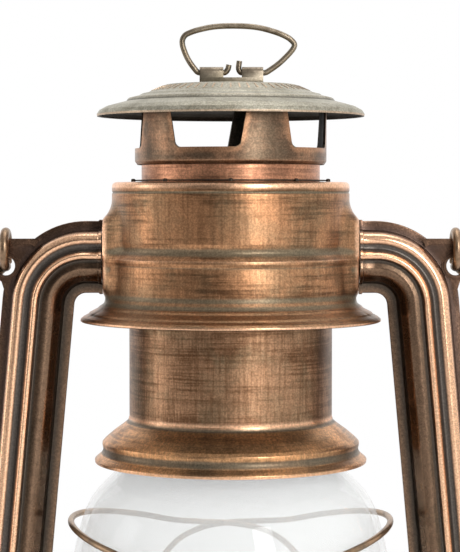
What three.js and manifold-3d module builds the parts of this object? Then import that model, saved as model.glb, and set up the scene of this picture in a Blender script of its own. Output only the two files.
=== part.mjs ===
// Cold-blast hurricane lantern with side air tubes, in millimetres, Z up, front towards -Y.
// The origin is the middle of the foot ring on the ground.
import * as THREE from 'three';
import { mergeVertices } from 'three/addons/utils/BufferGeometryUtils.js';
import Module from 'manifold-3d';

const wasm = await Module();
wasm.setup();

// Sheet metal, clearances and facets
const sheet = 0.7;              // wall of pressed sheet
const seat = 0.3;               // gap between pieces that touch
const facets = 24;              // sides of a large turned piece
const fineFacets = 16;          // sides of a small turned piece
const wireSides = 8;

// Levels above the ground, each counted from the one below it
const tankDeck = 41;
const drumHeight = 22.5;        // lower air chamber over the deck
const drumTop = tankDeck + drumHeight;
const plateLift = 0.9;          // globe plate off the air chamber
const globePlateThickness = 0.8;
const globePlateHeight = drumTop + plateLift;
const plateTop = globePlateHeight + globePlateThickness;
const globeHeight = 98;
const glassFoot = plateTop + seat;
const glassTop = glassFoot + globeHeight;
const ledgeHeight = glassTop + seat;
const capPlateCrown = 2.4;      // cap plate over its ledge
const capPlateTop = ledgeHeight + capPlateCrown;
const flueLength = 41.8;
const flueTop = capPlateTop + flueLength;
const springRoom = 27;          // flue to the canopy's top
const canopyTop = flueTop + springRoom;
const tubeDrop = 21.5;          // middle of a tube's upper end below the canopy's top
const tubeHeight = canopyTop - tubeDrop;
const footDrop = 11.43;         // middle of a tube's lower end below the air chamber's top
const tubeFootHeight = drumTop - footDrop;

// Glass, with the globe plate that it stands on
const glassWall = 1.9;
const globeNeck = 27.4;
const globeSeatRadius = 32.6;
const globeLipHeight = 3.2;
const plateMargin = 4.9;        // globe plate outside the glass
const globePlateRadius = globeSeatRadius + plateMargin;
const bellyRoom = 6.56;         // between the glass and a tube

// Chimney
const flueOver = 1.8;           // flue outside the glass's mouth
const flueRadius = globeNeck + flueOver;
const neckStep = 3.6;
const neckRadius = flueRadius - neckStep;
const neckOverlap = 3;          // neck inside the flue
const bandStep = 1.9;
const bandRadius = neckRadius + bandStep;
const bandLift = 4.9;           // band over the canopy
const bandBottom = canopyTop + bandLift;
const bandHeight = 18.3;
const bandTop = bandBottom + bandHeight;
const windowCount = 5;
const windowLift = 4.7;         // windows over the band's foot
const windowCorner = 1.4;
const pierTop = 27.4;           // degrees
const pierFoot = 33;
const firstPier = 21.9;         // degrees from the front towards +X
const hoodOverhang = 10.8;
const hoodRadius = bandRadius + hoodOverhang;
const hoodDrop = 4.1;           // rim below the band's top
const hoodRise = 9.3;           // rim to crown
const hoodRim = bandTop - hoodDrop;
const hoodCrown = hoodRim + hoodRise;
const capPlateOverhang = 9.8;
const capPlateRadius = flueRadius + capPlateOverhang;
const capPlateRise = 11.6;      // rim to the flue's foot
const ledgeReach = 2.9;         // ledge inside the glass's mouth

// Canopy
const canopyRoom = 4.9;         // outside the flue
const canopyRadius = flueRadius + canopyRoom;
const canopyHeight = 39.7;
const canopyRim = canopyTop - canopyHeight;
const canopyFlare = 9.1;
const canopySkirt = canopyRadius + canopyFlare;
const canopyEdge = 2;
const grooveDrop = 19;          // groove below the top
const grooveHeight = canopyTop - grooveDrop;
const grooveDepth = 0.7;
const beadDrop = 2.6;           // bead below the groove
const beadHeight = grooveHeight - beadDrop;
const beadStep = 1.2;
const beadRadius = canopyRadius + beadStep;
const lowerBandStep = 1.1;
const lowerBandRadius = canopyRadius + lowerBandStep;
const flareRise = 6.5;
const flareStart = canopyRim + flareRise;
const throatPlay = 0.5;
const canopyThroat = neckRadius + throatPlay;
const guideWidth = 2.8;
const guideRing = neckRadius + guideWidth;
const guideNubs = 9;
const guideThickness = 1;
const nubRadius = 0.5;
const springWire = 0.6;
const springTurns = 4;
const springPlay = 1.7;

// Side air tubes: a run in from the canopy, a tight bend, a long leg and a wide bend
const tubeHalfWidth = 10.35;    // seam to seam, halved
const tubeOff = 1.4;            // tube's end off the canopy's bead
const tubeRun = 4.85;           // straight run before the bend
const tubeStart = beadRadius + tubeOff;
const tubeBendX = tubeStart + tubeRun;
const tubeBendRadius = 13.9;
const legSlope = 5.2;           // degrees off upright
const footBendRadius = 30;
const tubeDepth = 8.2;          // seam to the sharp rib
const seamFlange = 0.7;         // thickness of one flange
const flangeWidth = 2.8;
const portHalfHeight = 6.2;
const portHalfWidth = 5.3;
const collarHalfWidth = 10.6;
const legTilt = THREE.MathUtils.degToRad(legSlope);
const bendMiddle = tubeHeight - tubeBendRadius;
const bendEnd = [
  tubeBendX + tubeBendRadius * Math.cos(legTilt),
  bendMiddle + tubeBendRadius * Math.sin(legTilt),
];
const legFoot = tubeFootHeight + footBendRadius * (1 + Math.sin(legTilt));
const footBendStart = [bendEnd[0] + Math.tan(legTilt) * (bendEnd[1] - legFoot), legFoot];
const footBend = [
  footBendStart[0] - footBendRadius * Math.cos(legTilt),
  tubeFootHeight + footBendRadius,
];
const bellyHeight = glassFoot + globeHeight / 2;
const legAtBelly = bendEnd[0] + Math.tan(legTilt) * (bendEnd[1] - bellyHeight);
const globeBelly = legAtBelly - tubeHalfWidth / Math.cos(legTilt) - bellyRoom;

// Guard wires
const guardWire = 0.7;          // radius
const guardRise = 72.2;         // glass's foot to the top of a guard loop
const guardDip = 9.4;           // top of a loop to where the two loops cross
const guardHigh = glassFoot + guardRise;
const guardCross = guardHigh - guardDip;
const guardStand = 3.1;         // wire's middle off the glass at the top
const guardOff = 1.5;           // wire's skin off the glass elsewhere

// Lower air chamber
const collarDepth = 2.35;       // chamber's wall to the tube's lower end
const drumRadius = footBend[0] - collarDepth;
const drumEdge = 3;

// Burner
const burnerHole = 16.5;
const burnerStep = 1.5;
const burnerRadius = burnerHole + burnerStep;
const burnerRise = 19;          // burner's top over the deck
const burnerTop = tankDeck + burnerRise;
const coneHeight = 26;
const coneTop = burnerTop + coneHeight;
const coneSlotLength = 15;
const coneSlotWidth = 4.4;
const throatRoom = 6.5;         // air chamber's throat round the burner
const drumThroat = burnerRadius + throatRoom;
const plateRoom = 1.5;          // globe plate's hole round the burner
const globePlateHole = burnerRadius + plateRoom;
const wickWidth = 10.2;
const wickThickness = 2.2;
const wickDrop = 4;             // below the cone's top
const wickLength = 71.5;
const wickTop = coneTop - wickDrop;
const wickShow = 1;             // wick above its tube
const wickTubeTop = wickTop - wickShow;
const wickTubeLength = 45;
const wickTubeBottom = wickTubeTop - wickTubeLength;
const wickTubeWall = 0.6;
const spindleRise = 13;         // over the deck
const spindleHeight = tankDeck + spindleRise;
const spindleRadius = 1.1;
const wheelRadius = 3.2;
const wheelThickness = 1.2;
const wheelSpread = 3;          // each wheel from the wick's middle
const wheelTeeth = 10;
const knobRadius = 8;
const knobThickness = 6;
const knobFlutes = 16;
const knobGap = 3;              // knob off the air chamber

// Filler
const fillerAngle = 225;        // degrees from +X
const fillerRadius = 7.5;
const fillerRise = 5.5;
const fillerTop = tankDeck + fillerRise;
const fillerFlange = 1.8;
const gasketThickness = 1.2;
const capStep = 2.1;
const capRadius = fillerRadius + capStep;
const capTopThickness = 1.2;
const capFlutes = 20;
const capRoom = 1.4;            // cap off the air chamber
const threadPlay = 0.4;
const fillerReach = drumRadius + capRoom + capRadius;

// Fuel tank
const deckMargin = 13;          // filler's middle to the tank's wall
const tankRadius = fillerReach + deckMargin;
const tankSeam = 2;             // roll outside the wall
const tankSeamRadius = tankRadius + tankSeam;
const tankSeamHeight = 3.6;
const tankShoulder = 6;
const footInset = 4;            // foot ring inside the wall
const footRadius = tankRadius - footInset;
const footWidth = 3;
const baseLift = 3;             // recess of the base above the ground

// Ears and bail
const earHoleInset = 1.05;      // inside the bend's outer edge
const earHoleDrop = 2.5;        // below the tube's middle
const bendOuter = tubeBendX + tubeBendRadius + tubeHalfWidth;
const earHoleX = bendOuter - earHoleInset;
const earHoleZ = tubeHeight - earHoleDrop;
const earHoleRadius = 2.8;
const earRimWidth = 1.3;
const earRim = earHoleRadius + earRimWidth;
const earRise = 5.3;            // above the tube's middle
const earTop = tubeHeight + earRise;
const earOut = 6.2;             // outside the hole
const earReach = earHoleX + earOut;
const earStart = 13;            // top edge's inner end from the bend's middle
const earCorner = 3.4;
const earThickness = 0.8;
const earRimFront = 1;          // raised rim past the seam, to the front
const earRimBack = 1.2;
const earDepth = 13.6;
const bailWire = 1.35;          // radius
const bailLoop = 5;
const bailPlay = 0.5;           // hook over the ear's top edge
const bailOut = 4.8;            // arm outside the ear's hole
const bailHalfWidth = earHoleX + bailOut;
const bailArm = 68;
const bailLean = 25;            // degrees off upright, at rest behind the guard

// Finger ring
const ringWire = 0.82;          // radius
const ringPlay = 0.33;
const sleeveRadius = 1.7;
const ringHalfWidth = 16.4;
const ringShift = 1.8;          // ring's middle off the middle of its sleeves
const ringHeight = 13.4;        // pivot to the top of the wire
const sleeves = [[-8.9, -2.1], [3.2, 9.3]];
const strapThickness = 1.2;
const strapHalfDepth = 2.6;

// Globe lift lever
const leverInside = 9.65;       // pivot outside the foot bend's middle
const leverX = footBend[0] + leverInside;
const leverLift = 5.6;          // pivot over the globe plate
const leverZ = globePlateHeight + leverLift;
const leverPin = 1;
const leverPlate = 1.6;
const leverFront = 13;          // thumb plate in front of the middle plane
const leverLength = 26;
const leverAngle = 52;          // degrees above level
const fingerReach = 2.3;        // finger under the plate's edge
const fingerTip = globePlateRadius - fingerReach;
const fingerHalfWidth = 1.6;
const fingerThickness = 1.2;
const fingerPad = 2.9;
const thumbHalfWidth = 4.4;
const thumbNeck = 2;
const thumbPad = 5;             // rounded end of the thumb plate
const leverBossRadius = 2.3;
const cheekOffset = 3.4;
const cheekThickness = 1;

const lantern = new THREE.Group();

// Geometry with shared vertices, no slivers, and faces pointing out
function closed(source) {
  const bare = new THREE.BufferGeometry();
  bare.setAttribute('position', source.attributes.position.clone());
  if (source.index) bare.setIndex(source.index.clone());
  const merged = mergeVertices(bare, 1e-4);
  const spots = merged.attributes.position;
  const index = merged.index.array;
  const faces = [];
  const a = new THREE.Vector3();
  const b = new THREE.Vector3();
  const c = new THREE.Vector3();
  let volume = 0;
  for (let i = 0; i < index.length; i += 3) {
    const [p, q, r] = [index[i], index[i + 1], index[i + 2]];
    if (p === q || q === r || r === p) continue;
    a.fromBufferAttribute(spots, p);
    b.fromBufferAttribute(spots, q);
    c.fromBufferAttribute(spots, r);
    volume += a.dot(b.clone().cross(c));
    faces.push([p, q, r]);
  }
  const order = volume < 0 ? faces.map(([p, q, r]) => [p, r, q]) : faces;
  merged.setIndex(order.flat());
  return merged;
}

// Solid for joining and cutting, from closed geometry
function solid(geometry) {
  const ready = closed(geometry);
  return new wasm.Manifold(new wasm.Mesh({
    numProp: 3,
    vertProperties: new Float32Array(ready.attributes.position.array),
    triVerts: new Uint32Array(ready.index.array),
  }));
}

// Geometry of a solid
function surface(body) {
  const mesh = body.getMesh();
  const geometry = new THREE.BufferGeometry();
  geometry.setAttribute('position', new THREE.BufferAttribute(new Float32Array(mesh.vertProperties), 3));
  geometry.setIndex(new THREE.BufferAttribute(new Uint32Array(mesh.triVerts), 1));
  return geometry;
}

function cut(geometry, ...tools) {
  return surface(tools.reduce((body, tool) => body.subtract(solid(tool)), solid(geometry)));
}

function join(geometry, ...others) {
  return surface(others.reduce((body, other) => body.add(solid(other)), solid(geometry)));
}

// Turned piece: [radius, height] points, closed on the axis or on themselves
function turned(points, sides = facets) {
  const outline = points.map(([r, z]) => new THREE.Vector2(Math.max(r, 0), z));
  const onAxis = points[0][0] === 0 && points[points.length - 1][0] === 0;
  if (!onAxis) outline.push(outline[0].clone());
  return closed(new THREE.LatheGeometry(outline, sides).rotateX(Math.PI / 2));
}

// Outline of pressed sheet: the given skin, and its offset to the left by the wall
function pressed(skin, wall = sheet) {
  const inner = skin.map(([r, z], i) => {
    const before = skin[Math.max(i - 1, 0)];
    const here = skin[i];
    const after = skin[Math.min(i + 1, skin.length - 1)];
    const normals = [];
    for (const [from, to] of [[before, here], [here, after]]) {
      const length = Math.hypot(to[0] - from[0], to[1] - from[1]);
      if (length > 0) normals.push([-(to[1] - from[1]) / length, (to[0] - from[0]) / length]);
    }
    const sum = normals.reduce((total, n) => [total[0] + n[0], total[1] + n[1]], [0, 0]);
    const scale = normals.length * wall / (sum[0] ** 2 + sum[1] ** 2);
    return [r === 0 ? 0 : r + sum[0] * scale, z + sum[1] * scale];
  });
  return [...skin, ...inner.reverse()];
}

// Points on an arc, with angles in degrees
function arc(r, z, radius, from, to, steps) {
  const points = [];
  for (let i = 0; i <= steps; i++) {
    const angle = THREE.MathUtils.degToRad(from + (to - from) * i / steps);
    points.push([r + radius * Math.cos(angle), z + radius * Math.sin(angle)]);
  }
  return points;
}

function ring(inner, outer, bottom, top, sides = facets) {
  return turned([[inner, bottom], [outer, bottom], [outer, top], [inner, top]], sides);
}

function block(x0, x1, y0, y1, z0, z1) {
  const geometry = new THREE.BoxGeometry(x1 - x0, y1 - y0, z1 - z0);
  return geometry.translate((x0 + x1) / 2, (y0 + y1) / 2, (z0 + z1) / 2);
}

function rodY(x, z, radius, y0, y1, sides = 16) {
  return new THREE.CylinderGeometry(radius, radius, y1 - y0, sides).translate(x, (y0 + y1) / 2, z);
}

function rodX(y, z, radius, x0, x1, sides = 16) {
  const rod = new THREE.CylinderGeometry(radius, radius, x1 - x0, sides).rotateZ(Math.PI / 2);
  return rod.translate((x0 + x1) / 2, y, z);
}

function rodZ(x, y, radius, z0, z1, sides = fineFacets) {
  const rod = new THREE.CylinderGeometry(radius, radius, z1 - z0, sides).rotateX(Math.PI / 2);
  return rod.translate(x, y, (z0 + z1) / 2);
}

// Plate with an outline in the upright plane, from y0 to y1
function uprightPlate(outline, y0, y1) {
  const shape = new THREE.Shape(outline.map(([x, z]) => new THREE.Vector2(x, z)));
  const plate = new THREE.ExtrudeGeometry(shape, { depth: y1 - y0, bevelEnabled: false });
  return closed(plate.rotateX(Math.PI / 2).translate(0, y1, 0));
}

// Flat plate with an outline seen from above
function levelPlate(outline, z0, z1) {
  const shape = new THREE.Shape(outline.map(([x, y]) => new THREE.Vector2(x, y)));
  const plate = new THREE.ExtrudeGeometry(shape, { depth: z1 - z0, bevelEnabled: false });
  return closed(plate.translate(0, 0, z0));
}

// Outline of a round with shallow flutes
function fluted(x, y, radius, depth, count) {
  const points = [];
  for (let i = 0; i < count * 2; i++) {
    const angle = Math.PI * i / count;
    const reach = i % 2 ? radius - depth : radius;
    points.push([x + reach * Math.cos(angle), y + reach * Math.sin(angle)]);
  }
  return points;
}

// Curve whose steps fall on its own points, which are close where it bends
class StepCurve extends THREE.CatmullRomCurve3 {
  getPointAt(u, target) {
    return this.getPoint(u, target);
  }

  getTangentAt(u, target) {
    return this.getTangent(u, target);
  }
}

// Round wire through points
function wire(points, radius, sides = wireSides) {
  const section = [];
  for (let i = 0; i < sides; i++) {
    const angle = 2 * Math.PI * (i + 0.5) / sides;
    section.push(new THREE.Vector2(radius * Math.cos(angle), radius * Math.sin(angle)));
  }
  const path = new StepCurve(points.map((p) => new THREE.Vector3(...p)));
  const steps = points.length - 1;
  const form = { steps, extrudePath: path, bevelEnabled: false };
  return closed(new THREE.ExtrudeGeometry(new THREE.Shape(section), form));
}

function mirrored(geometry) {
  return closed(geometry.clone().scale(-1, 1, 1));
}

// Metals and glass
const metals = {
  copper: { color: 0x8a5a3c, roughness: 0.42, metalness: 0.9 },
  brown: { color: 0x5f4330, roughness: 0.5, metalness: 0.85 },
  olive: { color: 0x9a9178, roughness: 0.55, metalness: 0.7 },
  bright: { color: 0xa9744c, roughness: 0.35, metalness: 0.95 },
  steel: { color: 0x6f6a62, roughness: 0.4, metalness: 0.9 },
  brass: { color: 0xa07a45, roughness: 0.4, metalness: 0.95 },
  glass: { color: 0xe8eeee, roughness: 0.05, metalness: 0, transparent: true, opacity: 0.3 },
  cotton: { color: 0xd8d0bc, roughness: 0.95, metalness: 0 },
  rubber: { color: 0x2b2a28, roughness: 0.8, metalness: 0 },
};

function add(name, geometry, finish) {
  const mesh = new THREE.Mesh(geometry, new THREE.MeshStandardMaterial(metals[finish]));
  mesh.name = name;
  lantern.add(mesh);
}

// Fuel tank: a pressed base with the foot ring, and a drawn shell with its deck
const footFlat = 0.8;           // from the recess and the seam to the foot ring
const rimHeight = 2;
const baseInset = 0.5;          // base inside the seam's roll
const seamSlope = 1.2;
const shellFoot = rimHeight + sheet + seat;
const filler = THREE.MathUtils.degToRad(fillerAngle);
const fillerX = fillerReach * Math.cos(filler);
const fillerY = fillerReach * Math.sin(filler);

function buildTank() {
  const recess = footRadius - footWidth;
  const base = pressed([
    [0, baseLift], [recess - footFlat, baseLift], [recess, 0], [footRadius, 0],
    [footRadius + footFlat, rimHeight], [tankSeamRadius - baseInset, rimHeight],
  ]);
  add('tank_base', turned(base), 'brown');
  const seamTop = shellFoot + tankSeamHeight;
  const shell = pressed([
    [tankRadius - tankSeam, shellFoot], [tankSeamRadius, shellFoot], [tankSeamRadius, seamTop],
    [tankRadius, seamTop + seamSlope],
    ...arc(tankRadius - tankShoulder, tankDeck - tankShoulder, tankShoulder, 0, 90, 4),
    [burnerHole, tankDeck],
  ]);
  const boreFoot = tankDeck - tankShoulder;
  const boreTop = tankDeck + tankShoulder;
  const fillerBore = rodZ(fillerX, fillerY, fillerRadius + seat, boreFoot, boreTop);
  add('tank_shell', cut(turned(shell), fillerBore), 'brown');
}

// Neck, gasket and screw cap of the filler
const neckDip = 2;              // below the deck
const capFluteDepth = 0.5;
const flangeTop = tankDeck + seat + sheet;

function buildFiller() {
  const bore = fillerRadius - sheet;
  const neck = turned([
    [bore, tankDeck - neckDip], [fillerRadius, tankDeck - neckDip], [fillerRadius, tankDeck + seat],
    [fillerRadius + fillerFlange, tankDeck + seat], [fillerRadius + fillerFlange, flangeTop],
    [fillerRadius, flangeTop], [fillerRadius, fillerTop], [bore, fillerTop],
  ], fineFacets);
  add('filler_neck', neck.translate(fillerX, fillerY, 0), 'brown');
  const gasketBottom = fillerTop + seat;
  const gasketTop = gasketBottom + gasketThickness;
  add('filler_gasket', rodZ(fillerX, fillerY, fillerRadius, gasketBottom, gasketTop), 'rubber');
  const capBottom = flangeTop + seat;
  const capUnder = gasketTop + seat;
  const outline = fluted(fillerX, fillerY, capRadius, capFluteDepth, capFlutes);
  const body = levelPlate(outline, capBottom, capUnder + capTopThickness);
  const inside = rodZ(fillerX, fillerY, fillerRadius + threadPlay, capBottom - 1, capUnder);
  add('filler_cap', cut(body, inside), 'copper');
}

// Burner collar, air chamber and the collars that the side tubes end on
const collarRise = 5;           // over the deck
const collarFlangeWidth = 2.4;
const collarTop = tankDeck + collarRise;
const collarRadius = burnerHole - seat;
const collarFlange = collarRadius + collarFlangeWidth;
const drumFoot = tankDeck + seat;
const collarHug = 4;            // tube collar round the chamber's wall
const collarTrim = 0.8;
const spindlePlay = 0.6;
const collarDip = 3;            // below the deck

function buildAirChamber() {
  const bore = collarRadius - sheet;
  const collar = turned([
    [bore, tankDeck - collarDip], [collarRadius, tankDeck - collarDip], [collarRadius, drumFoot],
    [collarFlange, drumFoot], [collarFlange, drumFoot + sheet],
    [collarRadius, drumFoot + sheet], [collarRadius, collarTop], [bore, collarTop],
  ], fineFacets);
  add('burner_collar', collar, 'brown');
  const skin = pressed([
    [collarFlange + seat, drumFoot], [drumRadius, drumFoot],
    ...arc(drumRadius - drumEdge, drumTop - drumEdge, drumEdge, 0, 90, 3), [drumThroat, drumTop],
  ]);
  const low = tubeFootHeight - portHalfHeight;
  const high = tubeFootHeight + portHalfHeight;
  const ports = block(-footBend[0], footBend[0], -portHalfWidth, portHalfWidth, low, high);
  const spindleHole = rodY(spindleX, spindleHeight, spindleRadius + spindlePlay, -footBend[0], -drumThroat);
  add('air_chamber', cut(turned(skin), ports, spindleHole), 'brown');
  const face = footBend[0] - seat;
  const collarBlock = (side) => {
    const pad = block(drumRadius - collarHug, face, -collarHalfWidth, collarHalfWidth,
      tubeFootHeight - tubeHalfWidth + collarTrim, drumTop - 1);
    const drum = turned([[0, 0], [drumRadius + seat, 0], [drumRadius + seat, canopyTop], [0, canopyTop]]);
    const port = block(0, face + 1, -portHalfWidth, portHalfWidth, low, high);
    const plate = cut(pad, drum, port);
    add(`air_chamber_collar_${side}`, side === 'left' ? mirrored(plate) : plate, 'brown');
  };
  collarBlock('left');
  collarBlock('right');
}

// Burner with its flat wick and the winder that feeds it
const wheelToothDepth = 0.7;
const knobFluteDepth = 0.6;
const spindleX = wickThickness / 2 + seat + wheelRadius;
const wickTubeHalfWidth = wickWidth / 2 + seat + wickTubeWall;
const wickTubeHalfDepth = wickThickness / 2 + seat + wickTubeWall;

function buildBurner() {
  const inside = collarRadius - sheet - seat;
  const wickHole = Math.hypot(wickTubeHalfWidth, wickTubeHalfDepth) + seat;
  const flange = collarTop + seat;
  const body = pressed([
    [wickHole, tankDeck], [inside, tankDeck], [inside, flange], [burnerRadius, flange],
    [burnerRadius, burnerTop], [wickHole, burnerTop],
  ]);
  const pinHole = rodY(spindleX, spindleHeight, spindleRadius + seat, -drumThroat, 0);
  add('burner_base', cut(turned(body, fineFacets), pinHole), 'brass');
  const coneFoot = burnerTop + seat;
  const dome = pressed([
    [burnerRadius * 0.72, coneFoot], [burnerRadius * 0.97, coneFoot],
    [burnerRadius * 0.99, coneFoot + coneHeight * 0.12], [burnerRadius * 0.91, coneFoot + coneHeight * 0.38],
    [burnerRadius * 0.69, coneTop - coneHeight * 0.27], [burnerRadius * 0.44, coneTop - coneHeight * 0.06],
    [burnerRadius * 0.22, coneTop], [0, coneTop],
  ]);
  const slot = block(-coneSlotWidth / 2, coneSlotWidth / 2, -coneSlotLength / 2, coneSlotLength / 2,
    coneTop - coneHeight / 3, coneTop + 1);
  add('burner_cone', cut(turned(dome, fineFacets), slot), 'brass');
  const outer = block(-wickTubeHalfDepth, wickTubeHalfDepth, -wickTubeHalfWidth, wickTubeHalfWidth,
    wickTubeBottom, wickTubeTop);
  const boreHalf = wickThickness / 2 + seat;
  const bore = block(-boreHalf, boreHalf, -wickWidth / 2 - seat, wickWidth / 2 + seat,
    wickTubeBottom - 1, wickTubeTop + 1);
  const windows = [-wheelSpread, wheelSpread].map((y) => block(0, wickTubeHalfDepth + 1,
    y - wheelThickness / 2 - seat, y + wheelThickness / 2 + seat,
    spindleHeight - wheelRadius - seat, spindleHeight + wheelRadius + seat));
  add('wick_tube', cut(outer, bore, ...windows), 'brass');
  const wick = block(-wickThickness / 2, wickThickness / 2, -wickWidth / 2, wickWidth / 2,
    wickTop - wickLength, wickTop);
  add('wick', wick, 'cotton');
  const knobBack = -drumRadius - knobGap;
  const shaft = rodY(spindleX, spindleHeight, spindleRadius, knobBack - knobThickness / 2,
    wheelSpread + 2 * wheelThickness, 12);
  const wheels = [-wheelSpread, wheelSpread].map((y) => uprightPlate(
    fluted(spindleX, spindleHeight, wheelRadius, wheelToothDepth, wheelTeeth),
    y - wheelThickness / 2, y + wheelThickness / 2));
  add('wick_spindle', join(shaft, ...wheels), 'brass');
  const knob = uprightPlate(fluted(spindleX, spindleHeight, knobRadius, knobFluteDepth, knobFlutes),
    knobBack - knobThickness, knobBack);
  const knobBore = rodY(spindleX, spindleHeight, spindleRadius + seat,
    knobBack - knobThickness / 2 - seat, knobBack + 1, 12);
  add('wick_knob', cut(knob, knobBore), 'copper');
}

// Globe plate, glass and guard wires

// Outside of the glass from foot to mouth, with the belly low and a shoulder under the chimney
function glassSkin() {
  const at = (share) => glassFoot + globeHeight * share;
  const curve = new THREE.SplineCurve([
    [globeSeatRadius * 0.988, at(0)], [globeSeatRadius * 1.018, at(0.06)], [globeBelly * 0.9, at(0.25)],
    [globeBelly, at(0.5)], [globeBelly * 0.965, at(0.67)], [globeBelly * 0.87, at(0.8)],
    [globeNeck * 1.197, at(0.885)], [globeNeck * 1.03, at(0.94)], [globeNeck, at(1)],
  ].map(([r, z]) => new THREE.Vector2(r, z)));
  return curve.getPoints(10).map((p) => [p.x, p.y]);
}

function buildGlobe() {
  const lipIn = globeSeatRadius + seat;
  const lipOut = lipIn + sheet;
  const plate = turned([
    [globePlateHole, globePlateHeight], [globePlateRadius, globePlateHeight],
    [globePlateRadius, plateTop], [lipOut, plateTop], [lipOut, plateTop + globeLipHeight],
    [lipIn, plateTop + globeLipHeight], [lipIn, plateTop], [globePlateHole, plateTop],
  ]);
  add('globe_plate', plate, 'brown');
  add('globe', turned(pressed(glassSkin(), glassWall)), 'glass');
}

// Guard wire: high at the side it starts from, crossing its twin front and back, down to the plate
function guardPoints(outward) {
  const glassAt = (height) => {
    const skin = glassSkin();
    const above = skin.findIndex(([, z]) => z > height);
    const [[r0, z0], [r1, z1]] = [skin[above - 1], skin[above]];
    return r0 + (r1 - r0) * (height - z0) / (z1 - z0);
  };
  const stand = guardWire + guardOff;
  const foot = plateTop + seat;
  const down = (share) => guardCross - (guardCross - foot) * share;
  const side = [
    [0, guardHigh, guardStand], [18, guardHigh - guardDip * 0.06, guardStand],
    [36, guardHigh - guardDip * 0.24, guardStand], [54, guardHigh - guardDip * 0.53, stand],
    [68, guardCross + guardDip * 0.18, stand], [80, guardCross + guardDip * 0.06, stand],
    [90, guardCross, stand], [100, down(0.022), stand], [109, down(0.073), stand],
    [117, down(0.175), stand], [125, down(0.318), stand], [133, down(0.477), stand],
    [141, down(0.668), stand], [147, down(0.857), stand],
  ].map(([turn, height, off]) => {
    const bump = outward * Math.max(0, Math.cos(Math.PI * (turn - 90) / 50)) * (Math.abs(turn - 90) < 25);
    return [turn, height, glassAt(height) + off + bump];
  });
  const end = globePlateRadius - guardWire - seat;
  side.push([150, foot + globeLipHeight, end], [150, foot, end]);
  const back = side.slice(1).reverse().map(([turn, height, reach]) => [-turn, height, reach]);
  return [...back, ...side].map(([turn, height, reach]) => {
    const angle = THREE.MathUtils.degToRad(turn);
    return [-reach * Math.cos(angle), reach * Math.sin(angle), height];
  });
}

function buildGuard() {
  const left = wire(guardPoints(0), guardWire, 6);
  const right = mirrored(wire(guardPoints(2 * guardWire + seat), guardWire, 6));
  add('guard_wire_left', left, 'steel');
  add('guard_wire_right', right, 'steel');
}

// Chimney that lifts off the glass: cap plate, flue, neck, windowed band and hood
const capPlateRim = capPlateTop - capPlateRise;
const capCollar = 4;            // collar inside the flue
const flueEdge = 1.2;
const bandEdge = 0.9;

function buildChimney() {
  const collar = flueRadius - sheet - seat;
  const out = (share, rise) => [
    flueRadius + capPlateOverhang * share, capPlateRim + capPlateRise * rise,
  ];
  const plate = pressed([
    out(1, 0), out(1, 0.086), out(0.867, 0.198), out(0.735, 0.336), out(0.694, 0.491), out(0.551, 0.638),
    out(0.337, 0.784), out(0.071, 0.948), [collar, capPlateTop], [collar, capPlateTop + capCollar],
  ]);
  const ledge = ring(globeNeck - ledgeReach, out(0.224, 0)[0], ledgeHeight, ledgeHeight + sheet);
  add('globe_cap_plate', join(turned(plate), ledge), 'copper');
  const flue = pressed([
    [flueRadius, capPlateTop + seat], [flueRadius, flueTop - flueEdge], [flueRadius - flueEdge, flueTop],
    [neckRadius + seat, flueTop],
  ]);
  add('flue_cylinder', turned(flue), 'copper');
  const neckFoot = flueTop - neckOverlap;
  add('neck_tube', ring(neckRadius - sheet, neckRadius, neckFoot, bandBottom + windowLift / 2), 'copper');
  const band = pressed([
    [neckRadius + seat, bandBottom], [bandRadius - sheet, bandBottom], [bandRadius, bandBottom + bandEdge],
    [bandRadius, bandTop],
  ]);
  const pitch = 360 / windowCount;
  const windows = [];
  for (let i = 0; i < windowCount; i++) {
    const foot = THREE.MathUtils.degToRad((pitch - pierFoot) / 2);
    const head = THREE.MathUtils.degToRad((pitch - pierTop) / 2);
    const headHeight = bandTop - windowCorner;
    const footHalf = bandRadius * Math.sin(foot);
    const headHalf = bandRadius * Math.sin(head);
    const opening = uprightPlate([
      [-footHalf + windowCorner, bandBottom + windowLift], [footHalf - windowCorner, bandBottom + windowLift],
      [footHalf, bandBottom + windowLift + windowCorner], [headHalf, headHeight], [-headHalf, headHeight],
      [-footHalf, bandBottom + windowLift + windowCorner],
    ], -hoodRadius, -bandRadius / 2);
    const turn = firstPier + pitch * (i + 0.5);
    windows.push(opening.rotateZ(THREE.MathUtils.degToRad(turn)));
  }
  add('window_band', cut(turned(band, 30), ...windows), 'olive');
  const dome = (share, rise) => [hoodRadius * share, hoodRim + hoodRise * rise];
  const hood = pressed([
    dome(1, 0), dome(0.99, 0.129), dome(0.961, 0.237), dome(0.896, 0.333), dome(0.794, 0.419),
    dome(0.77, 0.538), dome(0.681, 0.624), dome(0.614, 0.785), dome(0.53, 0.914), dome(0.308, 0.989),
    dome(0, 1),
  ]);
  add('hood', turned(hood), 'olive');
}

// Strap with two sleeves on the hood, and the wire finger ring that turns in them
const strapFoot = hoodCrown + seat;
const sleeveSink = 0.3;         // sleeves into the strap
const pivotHeight = strapFoot + strapThickness - sleeveSink + sleeveRadius;

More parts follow.
